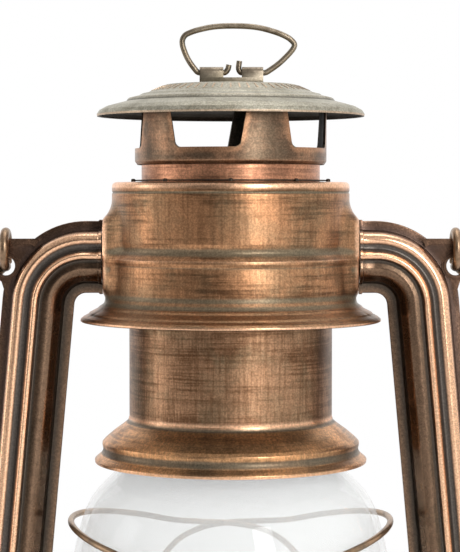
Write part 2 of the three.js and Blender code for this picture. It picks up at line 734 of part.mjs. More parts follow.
function buildRing() {
  const [[leftEnd, leftGap], [rightGap, rightEnd]] = sleeves;
  const strapTop = strapFoot + strapThickness;
  const strap = block(leftEnd, rightEnd, -strapHalfDepth, strapHalfDepth, strapFoot, strapTop);
  const barrels = sleeves.map(([x0, x1]) => rodX(0, pivotHeight, sleeveRadius, x0, x1));
  const bore = rodX(0, pivotHeight, ringWire + ringPlay, 2 * leftEnd, 2 * rightEnd);
  add('ring_bracket', cut(join(strap, ...barrels), bore), 'olive');
  const top = pivotHeight + ringHeight;
  const middle = (leftEnd + rightEnd) / 2 + ringShift;
  const crown = [
    [-0.97, -0.343], [-0.927, -0.209], [-0.817, -0.134], [-0.659, -0.075], [-0.396, -0.015], [0, 0],
    [0.335, -0.03], [0.591, -0.104], [0.793, -0.194], [0.927, -0.291], [0.994, -0.41],
  ].map(([across, drop]) => [middle + ringHalfWidth * across, top + ringHeight * drop]);
  const hook = (x, steps) => steps.map(([across, rise]) => [
    x + ringWire * across, pivotHeight + ringWire * rise,
  ]);
  const points = [
    ...hook(leftGap, [[2, 2.8], [1.6, 1.35], [0.75, 0.25], [-0.75, 0]]),
    ...hook(leftEnd, [[1.2, 0], [-0.6, 0.25], [-1.7, 1.35], [-4.4, 5.4]]),
    ...crown,
    ...hook(rightEnd, [[6.8, 4.4], [2.2, 0.85], [0.85, 0.12], [-1.2, 0]]),
    ...hook(rightGap, [[0.75, 0], [-0.5, 0.25], [-1.1, 1.35], [-0.85, 4.15]]),
  ];
  add('lift_ring', wire(points.map(([x, z]) => [x, 0, z]), ringWire), 'olive');
}

// Upper air chamber with its groove, bead and flared skirt, its tube collars, guide ring and spring
function buildCanopy() {
  const flare = (share, rise) => [
    canopyRadius + canopyFlare * share, canopyRim + flareRise * rise,
  ];
  const skin = pressed([
    flare(1, 0), flare(0.956, 0.185), flare(0.681, 0.431), flare(0.352, 0.708),
    [lowerBandRadius + seat, flareStart], [lowerBandRadius, flareStart + beadDrop],
    [lowerBandRadius - seat, beadHeight - beadDrop], [beadRadius, beadHeight],
    [canopyRadius, grooveHeight - beadStep], [canopyRadius - grooveDepth, grooveHeight],
    [canopyRadius, grooveHeight + beadStep],
    ...arc(canopyRadius - canopyEdge, canopyTop - canopyEdge, canopyEdge, 0, 90, 2),
    [canopyThroat, canopyTop],
  ]);
  const low = tubeHeight - portHalfHeight;
  const high = tubeHeight + portHalfHeight;
  const ports = block(-canopySkirt, canopySkirt, -portHalfWidth, portHalfWidth, low, high);
  add('canopy', cut(turned(skin), ports), 'copper');
  const face = tubeStart - seat;
  const pad = block(canopyRadius - collarHug, face, -collarHalfWidth, collarHalfWidth,
    tubeHeight - tubeHalfWidth + seat, tubeHeight + tubeHalfWidth + collarTrim);
  const inner = turned([
    [0, canopyRim], [beadRadius + seat, canopyRim], [beadRadius + seat, grooveHeight - beadStep],
    [canopyRadius + seat, grooveHeight - beadStep / 2], [canopyRadius + seat, canopyTop], [0, canopyTop],
  ]);
  const plate = cut(pad, inner, block(0, face + 1, -portHalfWidth, portHalfWidth, low, high));
  add('canopy_collar_right', plate, 'copper');
  add('canopy_collar_left', mirrored(plate), 'copper');
  const guideFoot = canopyTop + seat;
  const guide = ring(canopyThroat, guideRing - nubRadius, guideFoot, guideFoot + guideThickness);
  const nubs = [];
  for (let i = 0; i < guideNubs; i++) {
    const nubHeight = guideFoot + guideThickness / 2;
    const nub = rodY(0, nubHeight, nubRadius, -guideRing, -canopyThroat - nubRadius, 4);
    nubs.push(nub.rotateZ(2 * Math.PI * i / guideNubs));
  }
  add('chimney_guide', join(guide, ...nubs), 'brown');
  const coil = neckRadius + springWire + springPlay;
  const foot = flueTop + seat + springWire;
  const rise = canopyTop - sheet - seat - springWire - foot;
  const coilSteps = springTurns * 10;
  const points = [];
  for (let i = 0; i <= coilSteps; i++) {
    const angle = 2 * Math.PI * springTurns * i / coilSteps;
    points.push([coil * Math.cos(angle), coil * Math.sin(angle), foot + rise * i / coilSteps]);
  }
  add('chimney_spring', wire(points, springWire, 5), 'steel');
}

// Side air tubes, each of two pressed halves with flanges, the back one carrying the ear
class TubePath extends THREE.Curve {
  constructor() {
    super();
    const bendSteps = 6;
    const footSteps = 6;
    const level = [[tubeStart, tubeHeight]];
    const bend = arc(tubeBendX, tubeHeight - tubeBendRadius, tubeBendRadius, 90, legSlope, bendSteps);
    const leg = [0.35, 0.7].map((share) => [
      bendEnd[0] + (footBendStart[0] - bendEnd[0]) * share,
      bendEnd[1] + (footBendStart[1] - bendEnd[1]) * share,
    ]);
    const sweep = arc(footBend[0], footBend[1], footBendRadius, legSlope, -90, footSteps);
    const headings = [
      90, ...bend.map((_, i) => 90 + (legSlope - 90) * i / bendSteps), ...leg.map(() => legSlope),
      ...sweep.map((_, i) => legSlope - (90 + legSlope) * i / footSteps),
    ];
    this.stops = [...level, ...bend, ...leg, ...sweep];
    this.headings = headings;
  }

  getPointAt(u, target = new THREE.Vector3()) {
    const [x, z] = this.stops[Math.round(u * (this.stops.length - 1))];
    return target.set(x, 0, z);
  }

  getTangentAt(u, target = new THREE.Vector3()) {
    const angle = THREE.MathUtils.degToRad(this.headings[Math.round(u * (this.stops.length - 1))]);
    return target.set(Math.sin(angle), 0, -Math.cos(angle));
  }
}

// Half of the tube's section: [across, depth], across from the inner seam (-) to the outer (+)
function tubeHalfOutline() {
  const gap = seat / 2;
  const face = gap + seamFlange;
  const edge = tubeHalfWidth;
  const body = edge - flangeWidth;
  const scaled = (shares) => shares.map(([across, depth]) => [body * across, tubeDepth * depth]);
  const skin = scaled([
    [0.954, 0.439], [0.848, 0.695], [0.649, 0.793], [0.464, 0.707], [0.331, 0.695], [0.199, 0.866],
    [0.093, 1], [-0.04, 0.927], [-0.119, 0.756], [-0.238, 0.768], [-0.437, 0.805], [-0.689, 0.707],
    [-0.887, 0.439],
  ]);
  const lining = scaled([
    [-0.795, 0.4], [-0.63, 0.61], [-0.42, 0.7], [-0.13, 0.67], [0.36, 0.61], [0.636, 0.695],
    [0.781, 0.61], [0.861, 0.402],
  ]);
  return [
    [edge, gap], [edge, face], [body, face], ...skin, [-body, face], [-edge, face], [-edge, gap],
    [sheet - body, gap], ...lining, [body - sheet, gap],
  ];
}

function buildTubes() {
  const path = new TubePath();
  const form = { steps: path.stops.length - 1, extrudePath: path, bevelEnabled: false };
  const half = (front) => {
    const outline = tubeHalfOutline().map(([across, depth]) => new THREE.Vector2(front * depth, -across));
    return closed(new THREE.ExtrudeGeometry(new THREE.Shape(outline), form));
  };
  const rimHole = rodY(earHoleX, earHoleZ, earRim + seat, -tubeHalfWidth, tubeHalfWidth, fineFacets);
  const back = cut(half(-1), rimHole);
  const flangeMiddle = tubeBendRadius + tubeHalfWidth - flangeWidth / 2;
  const ear = uprightPlate([
    ...arc(tubeBendX, bendMiddle, flangeMiddle, 4, 56, 8), [tubeBendX + earStart, earTop],
    [earReach - earCorner, earTop], [earReach - earCorner * 0.24, earTop - earDepth * 0.21],
    [earReach, earTop - earDepth / 2], [earReach - earCorner * 0.3, earTop - earDepth * 0.78],
    [earReach - earCorner * 1.18, earTop - earDepth],
  ], -seat / 2 - earThickness, -seat / 2);
  const rim = rodY(earHoleX, earHoleZ, earRim, -earRimFront, earRimBack, fineFacets);
  const hole = rodY(earHoleX, earHoleZ, earHoleRadius, -tubeHalfWidth, tubeHalfWidth, fineFacets);
  const front = cut(join(half(1), ear, rim), hole);
  add('tube_right_front', front, 'brown');
  add('tube_right_back', back, 'brown');
  add('tube_left_front', mirrored(front), 'brown');
  add('tube_left_back', mirrored(back), 'brown');
}

// Bail: a hook round each ear's top edge, an arm, and a half round between them
function buildBail() {
  const pivot = earTop + bailPlay + bailWire - bailLoop;
  const place = (x, reach, turn) => {
    const angle = THREE.MathUtils.degToRad(bailLean + turn);
    return [x, reach * Math.sin(angle), pivot - reach * Math.cos(angle)];
  };
  const hook = [];
  for (let turn = 18; turn <= 340; turn += 20) hook.push([earHoleX, bailLoop, turn]);
  hook.push([earHoleX, bailLoop, 347], [earHoleX + 0.8, bailLoop + 0.5, 354]);
  hook.push([earHoleX + 2.7, bailLoop + 2.5, 358], [bailHalfWidth - 0.8, bailLoop + 5.4, 360]);
  hook.push([bailHalfWidth, bailLoop + 10, 360], [bailHalfWidth, bailArm - 14, 360]);
  const bow = arc(0, 0, bailHalfWidth, 0, 180, 16).map(([x, drop]) => [x, bailArm + drop, 360]);
  const other = hook.map(([x, reach, turn]) => [-x, reach, turn]).reverse();
  const points = [...hook, ...bow, ...other].map((stop) => place(...stop));
  add('bail', wire(points, bailWire), 'copper');
}

// Globe lift lever and the bracket soldered inside the right tube's foot bend
function buildLever() {
  const tipTop = globePlateHeight - seat;
  const finger = uprightPlate([
    [fingerTip, tipTop - fingerThickness], [fingerTip + fingerPad * 1.25, tipTop - fingerThickness],
    [leverX + leverPin, leverZ - fingerHalfWidth], [leverX - leverPin, leverZ + fingerHalfWidth],
    [fingerTip + fingerPad, tipTop], [fingerTip, tipTop],
  ], -fingerHalfWidth, fingerHalfWidth);
  const boss = rodY(leverX, leverZ, leverBossRadius, -fingerHalfWidth, fingerHalfWidth);
  const pinEnd = cheekOffset + 2 * cheekThickness;
  const pin = rodY(leverX, leverZ, leverPin, -leverFront - leverPlate / 2, pinEnd, 12);
  const lean = THREE.MathUtils.degToRad(leverAngle);
  const along = (reach, side) => [
    leverX + reach * Math.cos(lean) - side * Math.sin(lean),
    leverZ + reach * Math.sin(lean) + side * Math.cos(lean),
  ];
  const thumb = uprightPlate([
    along(-thumbNeck * 1.5, -thumbNeck * 1.3), along(thumbNeck * 1.5, -thumbNeck * 1.4),
    along(leverLength - thumbPad * 1.4, -thumbNeck), along(leverLength - thumbPad, -thumbHalfWidth),
    along(leverLength, -thumbHalfWidth * 0.8), along(leverLength + thumbPad * 0.3, 0),
    along(leverLength, thumbHalfWidth * 0.8), along(leverLength - thumbPad, thumbHalfWidth),
    along(leverLength - thumbPad * 1.4, thumbNeck), along(thumbNeck * 1.5, thumbNeck * 1.4),
    along(-thumbNeck * 1.5, thumbNeck * 1.3),
  ], -leverFront - leverPlate, -leverFront);
  add('lift_lever', join(finger, boss, pin, thumb), 'copper');
  const inner = footBendRadius - tubeHalfWidth - seat;
  const bearing = THREE.MathUtils.radToDeg(Math.atan2(leverZ - footBend[1], leverX - footBend[0]));
  const reach = Math.hypot(leverZ - footBend[1], leverX - footBend[0]);
  const sector = (inside, spread) => [
    ...arc(footBend[0], footBend[1], inner, bearing - spread, bearing + spread, 4),
    ...arc(footBend[0], footBend[1], inside, bearing + spread, bearing - spread, 4),
  ];
  const outside = cheekOffset + cheekThickness;
  const web = uprightPlate(sector(inner - 1, 11), -outside, outside);
  const cheek = sector(reach - leverBossRadius, 10);
  const cheeks = [uprightPlate(cheek, -outside, -cheekOffset), uprightPlate(cheek, cheekOffset, outside)];
  const pinHole = rodY(leverX, leverZ, leverPin + seat, -outside - 1, outside + 1, 12);
  add('lever_bracket', cut(join(web, ...cheeks), pinHole), 'brown');
}

buildTank();
buildFiller();
buildAirChamber();
buildBurner();
buildGlobe();
buildGuard();
buildChimney();
buildRing();
buildCanopy();
buildTubes();
buildBail();
buildLever();

export default lantern;
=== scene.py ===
"""Hurricane lantern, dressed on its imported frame: pressed and turned copper, clear glass, wire and a studio.

Sizes are in millimetres until a mesh is made, and the frame's own boxes give the places.
"""

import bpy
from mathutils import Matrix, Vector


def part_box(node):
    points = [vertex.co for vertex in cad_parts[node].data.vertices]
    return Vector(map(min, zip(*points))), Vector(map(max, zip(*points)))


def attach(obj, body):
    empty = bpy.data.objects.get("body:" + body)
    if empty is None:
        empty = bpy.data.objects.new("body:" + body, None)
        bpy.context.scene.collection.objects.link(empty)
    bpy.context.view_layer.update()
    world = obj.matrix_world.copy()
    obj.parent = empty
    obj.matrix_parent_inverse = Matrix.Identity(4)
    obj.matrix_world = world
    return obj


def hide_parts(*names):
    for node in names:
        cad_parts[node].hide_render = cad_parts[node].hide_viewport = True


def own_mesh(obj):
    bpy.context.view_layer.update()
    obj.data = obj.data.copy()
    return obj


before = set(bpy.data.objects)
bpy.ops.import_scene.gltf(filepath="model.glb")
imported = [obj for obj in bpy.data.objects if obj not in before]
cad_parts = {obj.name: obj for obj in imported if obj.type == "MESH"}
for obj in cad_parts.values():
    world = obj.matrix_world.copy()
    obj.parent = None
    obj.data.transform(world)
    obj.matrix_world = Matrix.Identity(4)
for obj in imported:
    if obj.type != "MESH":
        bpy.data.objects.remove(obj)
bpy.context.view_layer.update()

import logging
import math
from collections.abc import Sequence
from dataclasses import dataclass, field
from enum import Enum

import bpy
import numpy as np

MM = 0.001
SHEET = 0.7
SMOOTH_BELOW = 38.0
WHITE = (1.0, 1.0, 1.0)
RIDGE_FROM, RIDGE_RANGE = 0.05, 0.75
HOLLOW_FROM, HOLLOW_RANGE = 0.02, 0.36
LOG = logging.getLogger("lantern")

Point = tuple[float, float]
Span = tuple[float, float]
Corner = tuple[float, ...]
Spot = tuple[float, float, float]
Colour = tuple[float, float, float]
Material = bpy.types.Material
Piece = bpy.types.Object
Socket = bpy.types.NodeSocket
Sockets = bpy.types.NodeOutputs


class Grain(Enum):
    """Which way the brush marks run on a metal."""

    AROUND = "around"
    ALONG = "along"
    LOOSE = "loose"


@dataclass(frozen=True)
class Box:
    """A node's box at rest, in millimetres."""

    low: Spot
    high: Spot

    @classmethod
    def of(cls, node: str) -> "Box":
        """Reads the box of a node from the frame.

        Args:
            node: Name of the node.

        Returns:
            The box in millimetres.
        """
        low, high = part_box(node)
        return cls(tuple(v / MM for v in low), tuple(v / MM for v in high))

    @property
    def radius(self) -> float:
        """Half of the box's width along Y, which no facet shortens."""
        return (self.high[1] - self.low[1]) / 2

    @property
    def foot(self) -> float:
        """Lowest height."""
        return self.low[2]

    @property
    def top(self) -> float:
        """Highest height."""
        return self.high[2]

    @property
    def middle(self) -> Spot:
        """Middle of the box."""
        return tuple((a + b) / 2 for a, b in zip(self.low, self.high))


@dataclass
class Shape:
    """Bare geometry in millimetres, with the flow that patterns follow on its surface."""

    points: np.ndarray
    faces: list[tuple[int, ...]]
    flow: np.ndarray

    def __add__(self, other: "Shape") -> "Shape":
        """Both geometries as one.

        Args:
            other: Geometry to add.

        Returns:
            The sum.
        """
        shift = len(self.points)
        moved = [tuple(i + shift for i in face) for face in other.faces]
        return Shape(
            np.vstack([self.points, other.points]), self.faces + moved, np.vstack([self.flow, other.flow])
        )

    def moved(self, x: float, y: float, z: float) -> "Shape":
        """The geometry at another place."""
        return Shape(self.points + np.array([x, y, z]), self.faces, self.flow)

    def spun(self, degrees: float) -> "Shape":
        """The geometry turned about the lantern's axis.

        Args:
            degrees: How far it turns.

        Returns:
            The turned geometry.
        """
        turn = math.radians(degrees)
        matrix = np.array(
            [[math.cos(turn), math.sin(turn), 0], [-math.sin(turn), math.cos(turn), 0], [0, 0, 1]]
        )
        return Shape(self.points @ matrix, self.faces, self.flow)

    def flipped(self) -> "Shape":
        """The geometry mirrored from left to right, with its faces turned back outwards."""
        mirror = np.array([-1.0, 1.0, 1.0])
        return Shape(self.points * mirror, [face[::-1] for face in self.faces], self.flow)


def rounded(corners: Sequence[Corner], steps: int = 4) -> list[Point]:
    """Rounds the corners of an outline.

    Args:
        corners: Points (across, up), each with an optional rounding radius as its third value.
        steps: Steps on each rounding.

    Returns:
        The outline with an arc in place of each rounded corner.
    """
    path: list[Point] = []
    for i, corner in enumerate(corners):
        here = np.array(corner[:2], float)
        if len(corner) < 3 or corner[2] <= 0 or i in (0, len(corners) - 1):
            path.append((float(here[0]), float(here[1])))
            continue
        back = np.array(corners[i - 1][:2], float) - here
        ahead = np.array(corners[i + 1][:2], float) - here
        back_length, ahead_length = np.linalg.norm(back), np.linalg.norm(ahead)
        back, ahead = back / back_length, ahead / ahead_length
        half = math.acos(max(-1.0, min(1.0, float(back @ ahead)))) / 2
        if half > 1.56 or half < 0.01:
            path.append((float(here[0]), float(here[1])))
            continue
        reach = min(corner[2] / math.tan(half), back_length * 0.49, ahead_length * 0.49)
        radius = reach * math.tan(half)
        bisector = (back + ahead) / np.linalg.norm(back + ahead)
        middle = here + bisector * radius / math.sin(half)
        start, stop = here + back * reach - middle, here + ahead * reach - middle
        first = math.atan2(start[1], start[0])
        sweep = (math.atan2(stop[1], stop[0]) - first + math.pi) % (2 * math.pi) - math.pi
        for step in range(steps + 1):
            angle = first + sweep * step / steps
            path.append(
                (float(middle[0] + radius * math.cos(angle)), float(middle[1] + radius * math.sin(angle)))
            )
    return path


def pressed(corners: Sequence[Corner], wall: float = SHEET, steps: int = 4) -> list[Point]:
    """Outline of pressed sheet: a skin, and its offset to the left by the wall.

    Args:
        corners: Corners of the skin, with rounding radii.
        wall: Thickness of the sheet.
        steps: Steps on each rounding.

    Returns:
        A closed outline, skin first.
    """
    inner: list[Corner] = []
    last = len(corners) - 1
    for i, corner in enumerate(corners):
        here = np.array(corner[:2], float)
        normals = []
        for a, b in ((max(i - 1, 0), i), (i, min(i + 1, last))):
            run = np.array(corners[b][:2], float) - np.array(corners[a][:2], float)
            length = np.linalg.norm(run)
            if length > 0:
                normals.append(np.array([-run[1], run[0]]) / length)
        total = sum(normals)
        shift = total * (len(normals) * wall / float(total @ total))
        radius = corner[2] if len(corner) > 2 else 0.0
        if len(normals) == 2:
            turn = float(normals[0][0] * normals[1][1] - normals[0][1] * normals[1][0])
            radius = max(radius - wall, 0.12) if turn > 0 else radius + wall
        x = 0.0 if abs(here[0]) < 1e-6 else here[0] + shift[0]
        inner.append((float(x), float(here[1] + shift[1]), radius))
    return rounded(corners, steps) + rounded(inner, steps)[::-1]


def curve_through(points: Sequence[Sequence[float]], steps: int) -> np.ndarray:
    """Smooth curve through points.

    Args:
        points: Points in two or three dimensions.
        steps: Steps between each two of them.

    Returns:
        The points of a centripetal curve.
    """
    given = np.array(points, float)
    ends = np.vstack([2 * given[0] - given[1], given, 2 * given[-1] - given[-2]])
    made = []
    for i in range(len(given) - 1):
        p = ends[i:i + 4]
        knots = np.concatenate([[0], np.cumsum(np.sqrt(np.linalg.norm(np.diff(p, axis=0), axis=1)) + 1e-9)])
        for t in np.linspace(knots[1], knots[2], steps, endpoint=False):
            a = [
                (knots[j + 1] - t) / (knots[j + 1] - knots[j]) * p[j]
                + (t - knots[j]) / (knots[j + 1] - knots[j]) * p[j + 1]
                for j in range(3)
            ]
            b = [
                (knots[j + 2] - t) / (knots[j + 2] - knots[j]) * a[j]
                + (t - knots[j]) / (knots[j + 2] - knots[j]) * a[j + 1]
                for j in range(2)
            ]
            made.append(
                (knots[2] - t) / (knots[2] - knots[1]) * b[0] + (t - knots[1]) / (knots[2] - knots[1]) * b[1]
            )
    made.append(given[-1])
    return np.array(made)


def arc(middle: Point, radius: float, turns: Sequence[float]) -> list[Spot]:
    """Points on an arc in X and Z.

    Args:
        middle: Its middle.
        radius: Its radius.
        turns: Angle at each point, in degrees from X.

    Returns:
        X, Z and the angle, for each point.
    """
    spots = []
    for turn in turns:
        angle = math.radians(turn)
        spots.append((middle[0] + radius * math.cos(angle), middle[1] + radius * math.sin(angle), turn))
    return spots


def lengths_along(points: np.ndarray) -> np.ndarray:
    """Length along a line of points, from 0 at the first."""
    return np.concatenate([[0.0], np.cumsum(np.linalg.norm(np.diff(points, axis=0), axis=1))])


def refined_line(points: Sequence[Point], step: float) -> list[Point]:
    """Adds points to an outline so that none of its steps is longer than given.

    Args:
        points: The outline.
        step: Longest step.

    Returns:
        The outline with its added points.
    """
    line = [points[0]]
    for (x0, z0), (x1, z1) in zip(points[:-1], points[1:]):
        count = max(1, math.ceil(math.hypot(x1 - x0, z1 - z0) / step))
        line += [(x0 + (x1 - x0) * i / count, z0 + (z1 - z0) * i / count) for i in range(1, count + 1)]
    return line


def turned(outline: Sequence[Point], around: int = 120, step: float = 1.5) -> Shape:
    """Turned body from a closed outline, or from one that starts and ends on the axis.

    Args:
        outline: Points (radius, height).
        around: Steps round the axis.
        step: Longest step along the outline.

    Returns:
        The closed body, whose flow circles the axis and climbs the outline.
    """
    line = np.array(refined_line(outline, step), float)
    along = lengths_along(line)
    angles = 2 * math.pi * np.arange(around) / around
    spots: list[Spot] = []
    flow: list[Spot] = []
    rows: list[list[int]] = []
    for (radius, height), run in zip(line, along):
        start = len(spots)
        if radius < 1e-6:
            spots.append((0.0, 0.0, height))
            flow.append((0.0, 0.0, run))
            rows.append([start] * around)
            continue
        for angle in angles:
            spots.append((radius * math.cos(angle), radius * math.sin(angle), height))
            flow.append((radius * math.cos(angle), radius * math.sin(angle), run))
        rows.append(list(range(start, start + around)))
    pairs = list(zip(rows[:-1], rows[1:]))
    if line[0][0] > 1e-6 or line[-1][0] > 1e-6:
        pairs.append((rows[-1], rows[0]))
    faces = []
    for lower, upper in pairs:
        for i in range(around):
            j = (i + 1) % around
            ring = [lower[i], lower[j], upper[j], upper[i]]
            face = tuple(dict.fromkeys(ring))
            if len(face) > 2:
                faces.append(face)
    return outward(Shape(np.array(spots), faces, np.array(flow)))


def outward(shape: Shape) -> Shape:
    """Turns a closed shape's faces outwards, judged by its volume.

    Args:
        shape: A closed shape.

    Returns:
        The shape with its faces outwards.
    """
    volume = 0.0
    for face in shape.faces:
        a = shape.points[face[0]]
        for k in range(1, len(face) - 1):
            volume += float(a @ np.cross(shape.points[face[k]], shape.points[face[k + 1]]))
    if volume < 0:
        return Shape(shape.points, [face[::-1] for face in shape.faces], shape.flow)
    return shape


def swept(
    path: np.ndarray, sides: np.ndarray, section: Sequence[Point], growth: np.ndarray | None = None
) -> Shape:
    """Body of a closed section along a path.

    Args:
        path: Middle points.
        sides: Unit vectors of the section's first direction, one for each point.
        section: Closed outline (first, second) square to the path.
        growth: How much larger the section is at each point.

    Returns:
        The capped body, whose flow has the way round the section, the way along, and the first direction.
    """
    runs = np.gradient(path, axis=0)
    runs /= np.linalg.norm(runs, axis=1)[:, None]
    seconds = np.cross(runs, sides)
    outline = np.array(section, float)
    across = lengths_along(outline)
    along = lengths_along(path)
    count = len(outline)
    scale = np.ones(len(path)) if growth is None else growth
    spots = (
        path[:, None, :] + (sides * scale[:, None])[:, None, :] * outline[None, :, 0, None]
        + (seconds * scale[:, None])[:, None, :] * outline[None, :, 1, None]
    ).reshape(-1, 3)
    flow = np.array([(a, b, side) for b in along for a, side in zip(across, outline[:, 0])])
    faces: list[tuple[int, ...]] = []
    for row in range(len(path) - 1):
        for i in range(count):
            j = (i + 1) % count
            low, high = row * count, (row + 1) * count
            faces.append((low + i, low + j, high + j, high + i))
    faces.append(tuple(range(count))[::-1])
    faces.append(tuple(range((len(path) - 1) * count, len(path) * count)))
    return outward(Shape(spots, faces, flow))


def plate(outline: Sequence[Point], near: float, far: float) -> Shape:
    """Upright plate with an outline in X and Z, from near to far along Y.

    Args:
        outline: Corners in X and Z.
        near: Y of one face.
        far: Y of the other face.

    Returns:
        The closed plate.
    """
    line = np.array(outline, float)
    count = len(line)
    along = lengths_along(line)
    spots = [(x, y, z) for y in (near, far) for x, z in line]
    flow = np.array([(run, 0.0, y) for y in (near, far) for run in along])
    faces: list[tuple[int, ...]] = [
        (i, (i + 1) % count, count + (i + 1) % count, count + i) for i in range(count)
    ]
    faces += [tuple(range(count))[::-1], tuple(range(count, 2 * count))]
    return outward(Shape(np.array(spots), faces, flow))


def block(low: Sequence[float], high: Sequence[float]) -> Shape:
    """Box from its lowest to its highest corner."""
    outline = [(low[0], low[2]), (high[0], low[2]), (high[0], high[2]), (low[0], high[2])]
    return plate(outline, low[1], high[1])


def rod(start: Sequence[float], end: Sequence[float], radius: float, sides: int = 32) -> Shape:
    """Round rod between two points.

    Args:
        start: Middle of one end.
        end: Middle of the other end.
        radius: Its radius.
        sides: Number of flats round it.

    Returns:
        The closed rod.
    """
    first, last = np.array(start, float), np.array(end, float)
    run = (last - first) / np.linalg.norm(last - first)
    side = np.cross(run, [0.0, 0.0, 1.0])
    if np.linalg.norm(side) < 1e-6:
        side = np.array([1.0, 0.0, 0.0])
    side /= np.linalg.norm(side)
    angles = [2 * math.pi * i / sides for i in range(sides)]
    section = [(radius * math.cos(angle), radius * math.sin(angle)) for angle in angles]
    return swept(np.array([first, last]), np.array([side, side]), section)


def placed(name: str, data: bpy.types.ID) -> Piece:
    """Puts new data into the scene.

    Args:
        name: The object's name.
        data: A mesh, a camera or a lamp.

    Returns:
        The linked object.
    """
    piece = bpy.data.objects.new(name, data)
    bpy.context.scene.collection.objects.link(piece)
    return piece


def as_object(shape: Shape, name: str) -> Piece:
    """Makes a Blender object at the origin, in metres.

    Args:
        shape: Geometry in millimetres.
        name: The object's name.

    Returns:
        The linked object, with its flow as an attribute.
    """
    mesh = bpy.data.meshes.new(name)
    mesh.from_pydata((shape.points * MM).tolist(), [], shape.faces)
    mesh.validate()
    set_flow(mesh, shape.flow)
    return placed(name, mesh)


def applied(piece: Piece) -> Piece:
    """Turns a piece with modifiers into a plain mesh piece.

    Args:
        piece: The piece.

    Returns:
        The piece with its final mesh.
    """
    graph = bpy.context.evaluated_depsgraph_get()
    made = bpy.data.meshes.new_from_object(piece.evaluated_get(graph), depsgraph=graph)
    piece.modifiers.clear()
    old = piece.data
    piece.data = made
    bpy.data.meshes.remove(old)
    made.name = piece.name
    return piece


def places(mesh: bpy.types.Mesh) -> np.ndarray:
    """Reads where a mesh's points are.

    Args:
        mesh: The mesh.

    Returns:
        One row for each point, in millimetres.
    """
    spots = np.empty(len(mesh.vertices) * 3, np.float32)
    mesh.vertices.foreach_get("co", spots)
    return spots.reshape(-1, 3) / MM


def set_flow(mesh: bpy.types.Mesh, flow: np.ndarray) -> None:
    """Stores the flow that patterns follow, one row for each point."""
    mark = mesh.attributes.get("flow") or mesh.attributes.new("flow", "FLOAT_VECTOR", "POINT")
    mark.data.foreach_set("vector", flow.astype(np.float32).ravel())


def lay_flow(piece: Piece) -> Piece:
    """Marks each point's own place as its flow, for brushing round the axis."""
    set_flow(piece.data, places(piece.data))
    return piece


def combined(piece: Piece, operation: str, tools: Sequence[Shape]) -> Piece:
    """Works closed shapes into a piece, one after another.

    Args:
        piece: The piece to change.
        operation: Blender's name of the solid operation.
        tools: The shapes.

    Returns:
        The same piece.
    """
    cutters = [as_object(tool, "cutter") for tool in tools]
    for cutter in cutters:
        step = piece.modifiers.new("step", "BOOLEAN")
        step.object = cutter
        step.operation = operation
        step.solver = "EXACT"
    applied(piece)
    for cutter in cutters:
        data = cutter.data
        bpy.data.objects.remove(cutter)
        bpy.data.meshes.remove(data)
    return lay_flow(piece)


def cut(piece: Piece, *tools: Shape) -> Piece:
    """Cuts closed shapes out of a piece."""
    return combined(piece, "DIFFERENCE", tools)


def fused(piece: Piece, *tools: Shape) -> Piece:
    """Grows closed shapes onto a piece."""
    return combined(piece, "UNION", tools)


def bevelled(piece: Piece, width: float, segments: int = 2, angle: float = 32) -> Piece:
    """Breaks a piece's sharp edges.

    Args:
        piece: The piece.
        width: Width of the break.
        segments: Steps across it.
        angle: Least angle at an edge, in degrees.

    Returns:
        The piece with its final mesh.
    """
    edge = piece.modifiers.new("edge", "BEVEL")
    edge.width = width * MM
    edge.segments = segments
    edge.limit_method = "ANGLE"
    edge.angle_limit = math.radians(angle)
    edge.use_clamp_overlap = True
    return applied(piece)


def mark_wear(piece: Piece, soften: int = 2) -> None:
    """Marks where a surface bends outwards and inwards, for worn ridges and for hollows darkened with dirt and
    painted shade.

    Args:
        piece: A plain mesh piece.
        soften: How many times the marks are spread to their neighbours.
    """
    mesh = piece.data
    spots = places(mesh)
    count = len(spots)
    normals = np.empty(count * 3, np.float32)
    mesh.vertex_normals.foreach_get("vector", normals)
    normals = normals.reshape(-1, 3)
    ends = np.empty(len(mesh.edges) * 2, np.int32)
    mesh.edges.foreach_get("vertices", ends)
    a, b = ends[0::2], ends[1::2]
    run = spots[b] - spots[a]
    square = np.maximum((run ** 2).sum(1), 0.04)
    bend = ((normals[b] - normals[a]) * run).sum(1) / square
    ridge = np.zeros(count)
    hollow = np.zeros(count)
    for end in (a, b):
        np.maximum.at(ridge, end, bend)
        np.maximum.at(hollow, end, -bend)
    ridge = np.clip((ridge - RIDGE_FROM) / RIDGE_RANGE, 0, 1)
    hollow = np.clip((hollow - HOLLOW_FROM) / HOLLOW_RANGE, 0, 1)
    for _ in range(soften):
        for values in (ridge, hollow):
            total = values.copy()
            share = np.ones(count)
            for here, there in ((a, b), (b, a)):
                np.add.at(total, here, values[there])
                np.add.at(share, here, 1)
            values[:] = total / share
    for name, values in (("ridge", ridge), ("hollow", hollow)):
        mark = mesh.attributes.get(name) or mesh.attributes.new(name, "FLOAT", "POINT")
        mark.data.foreach_set("value", values.astype(np.float32))


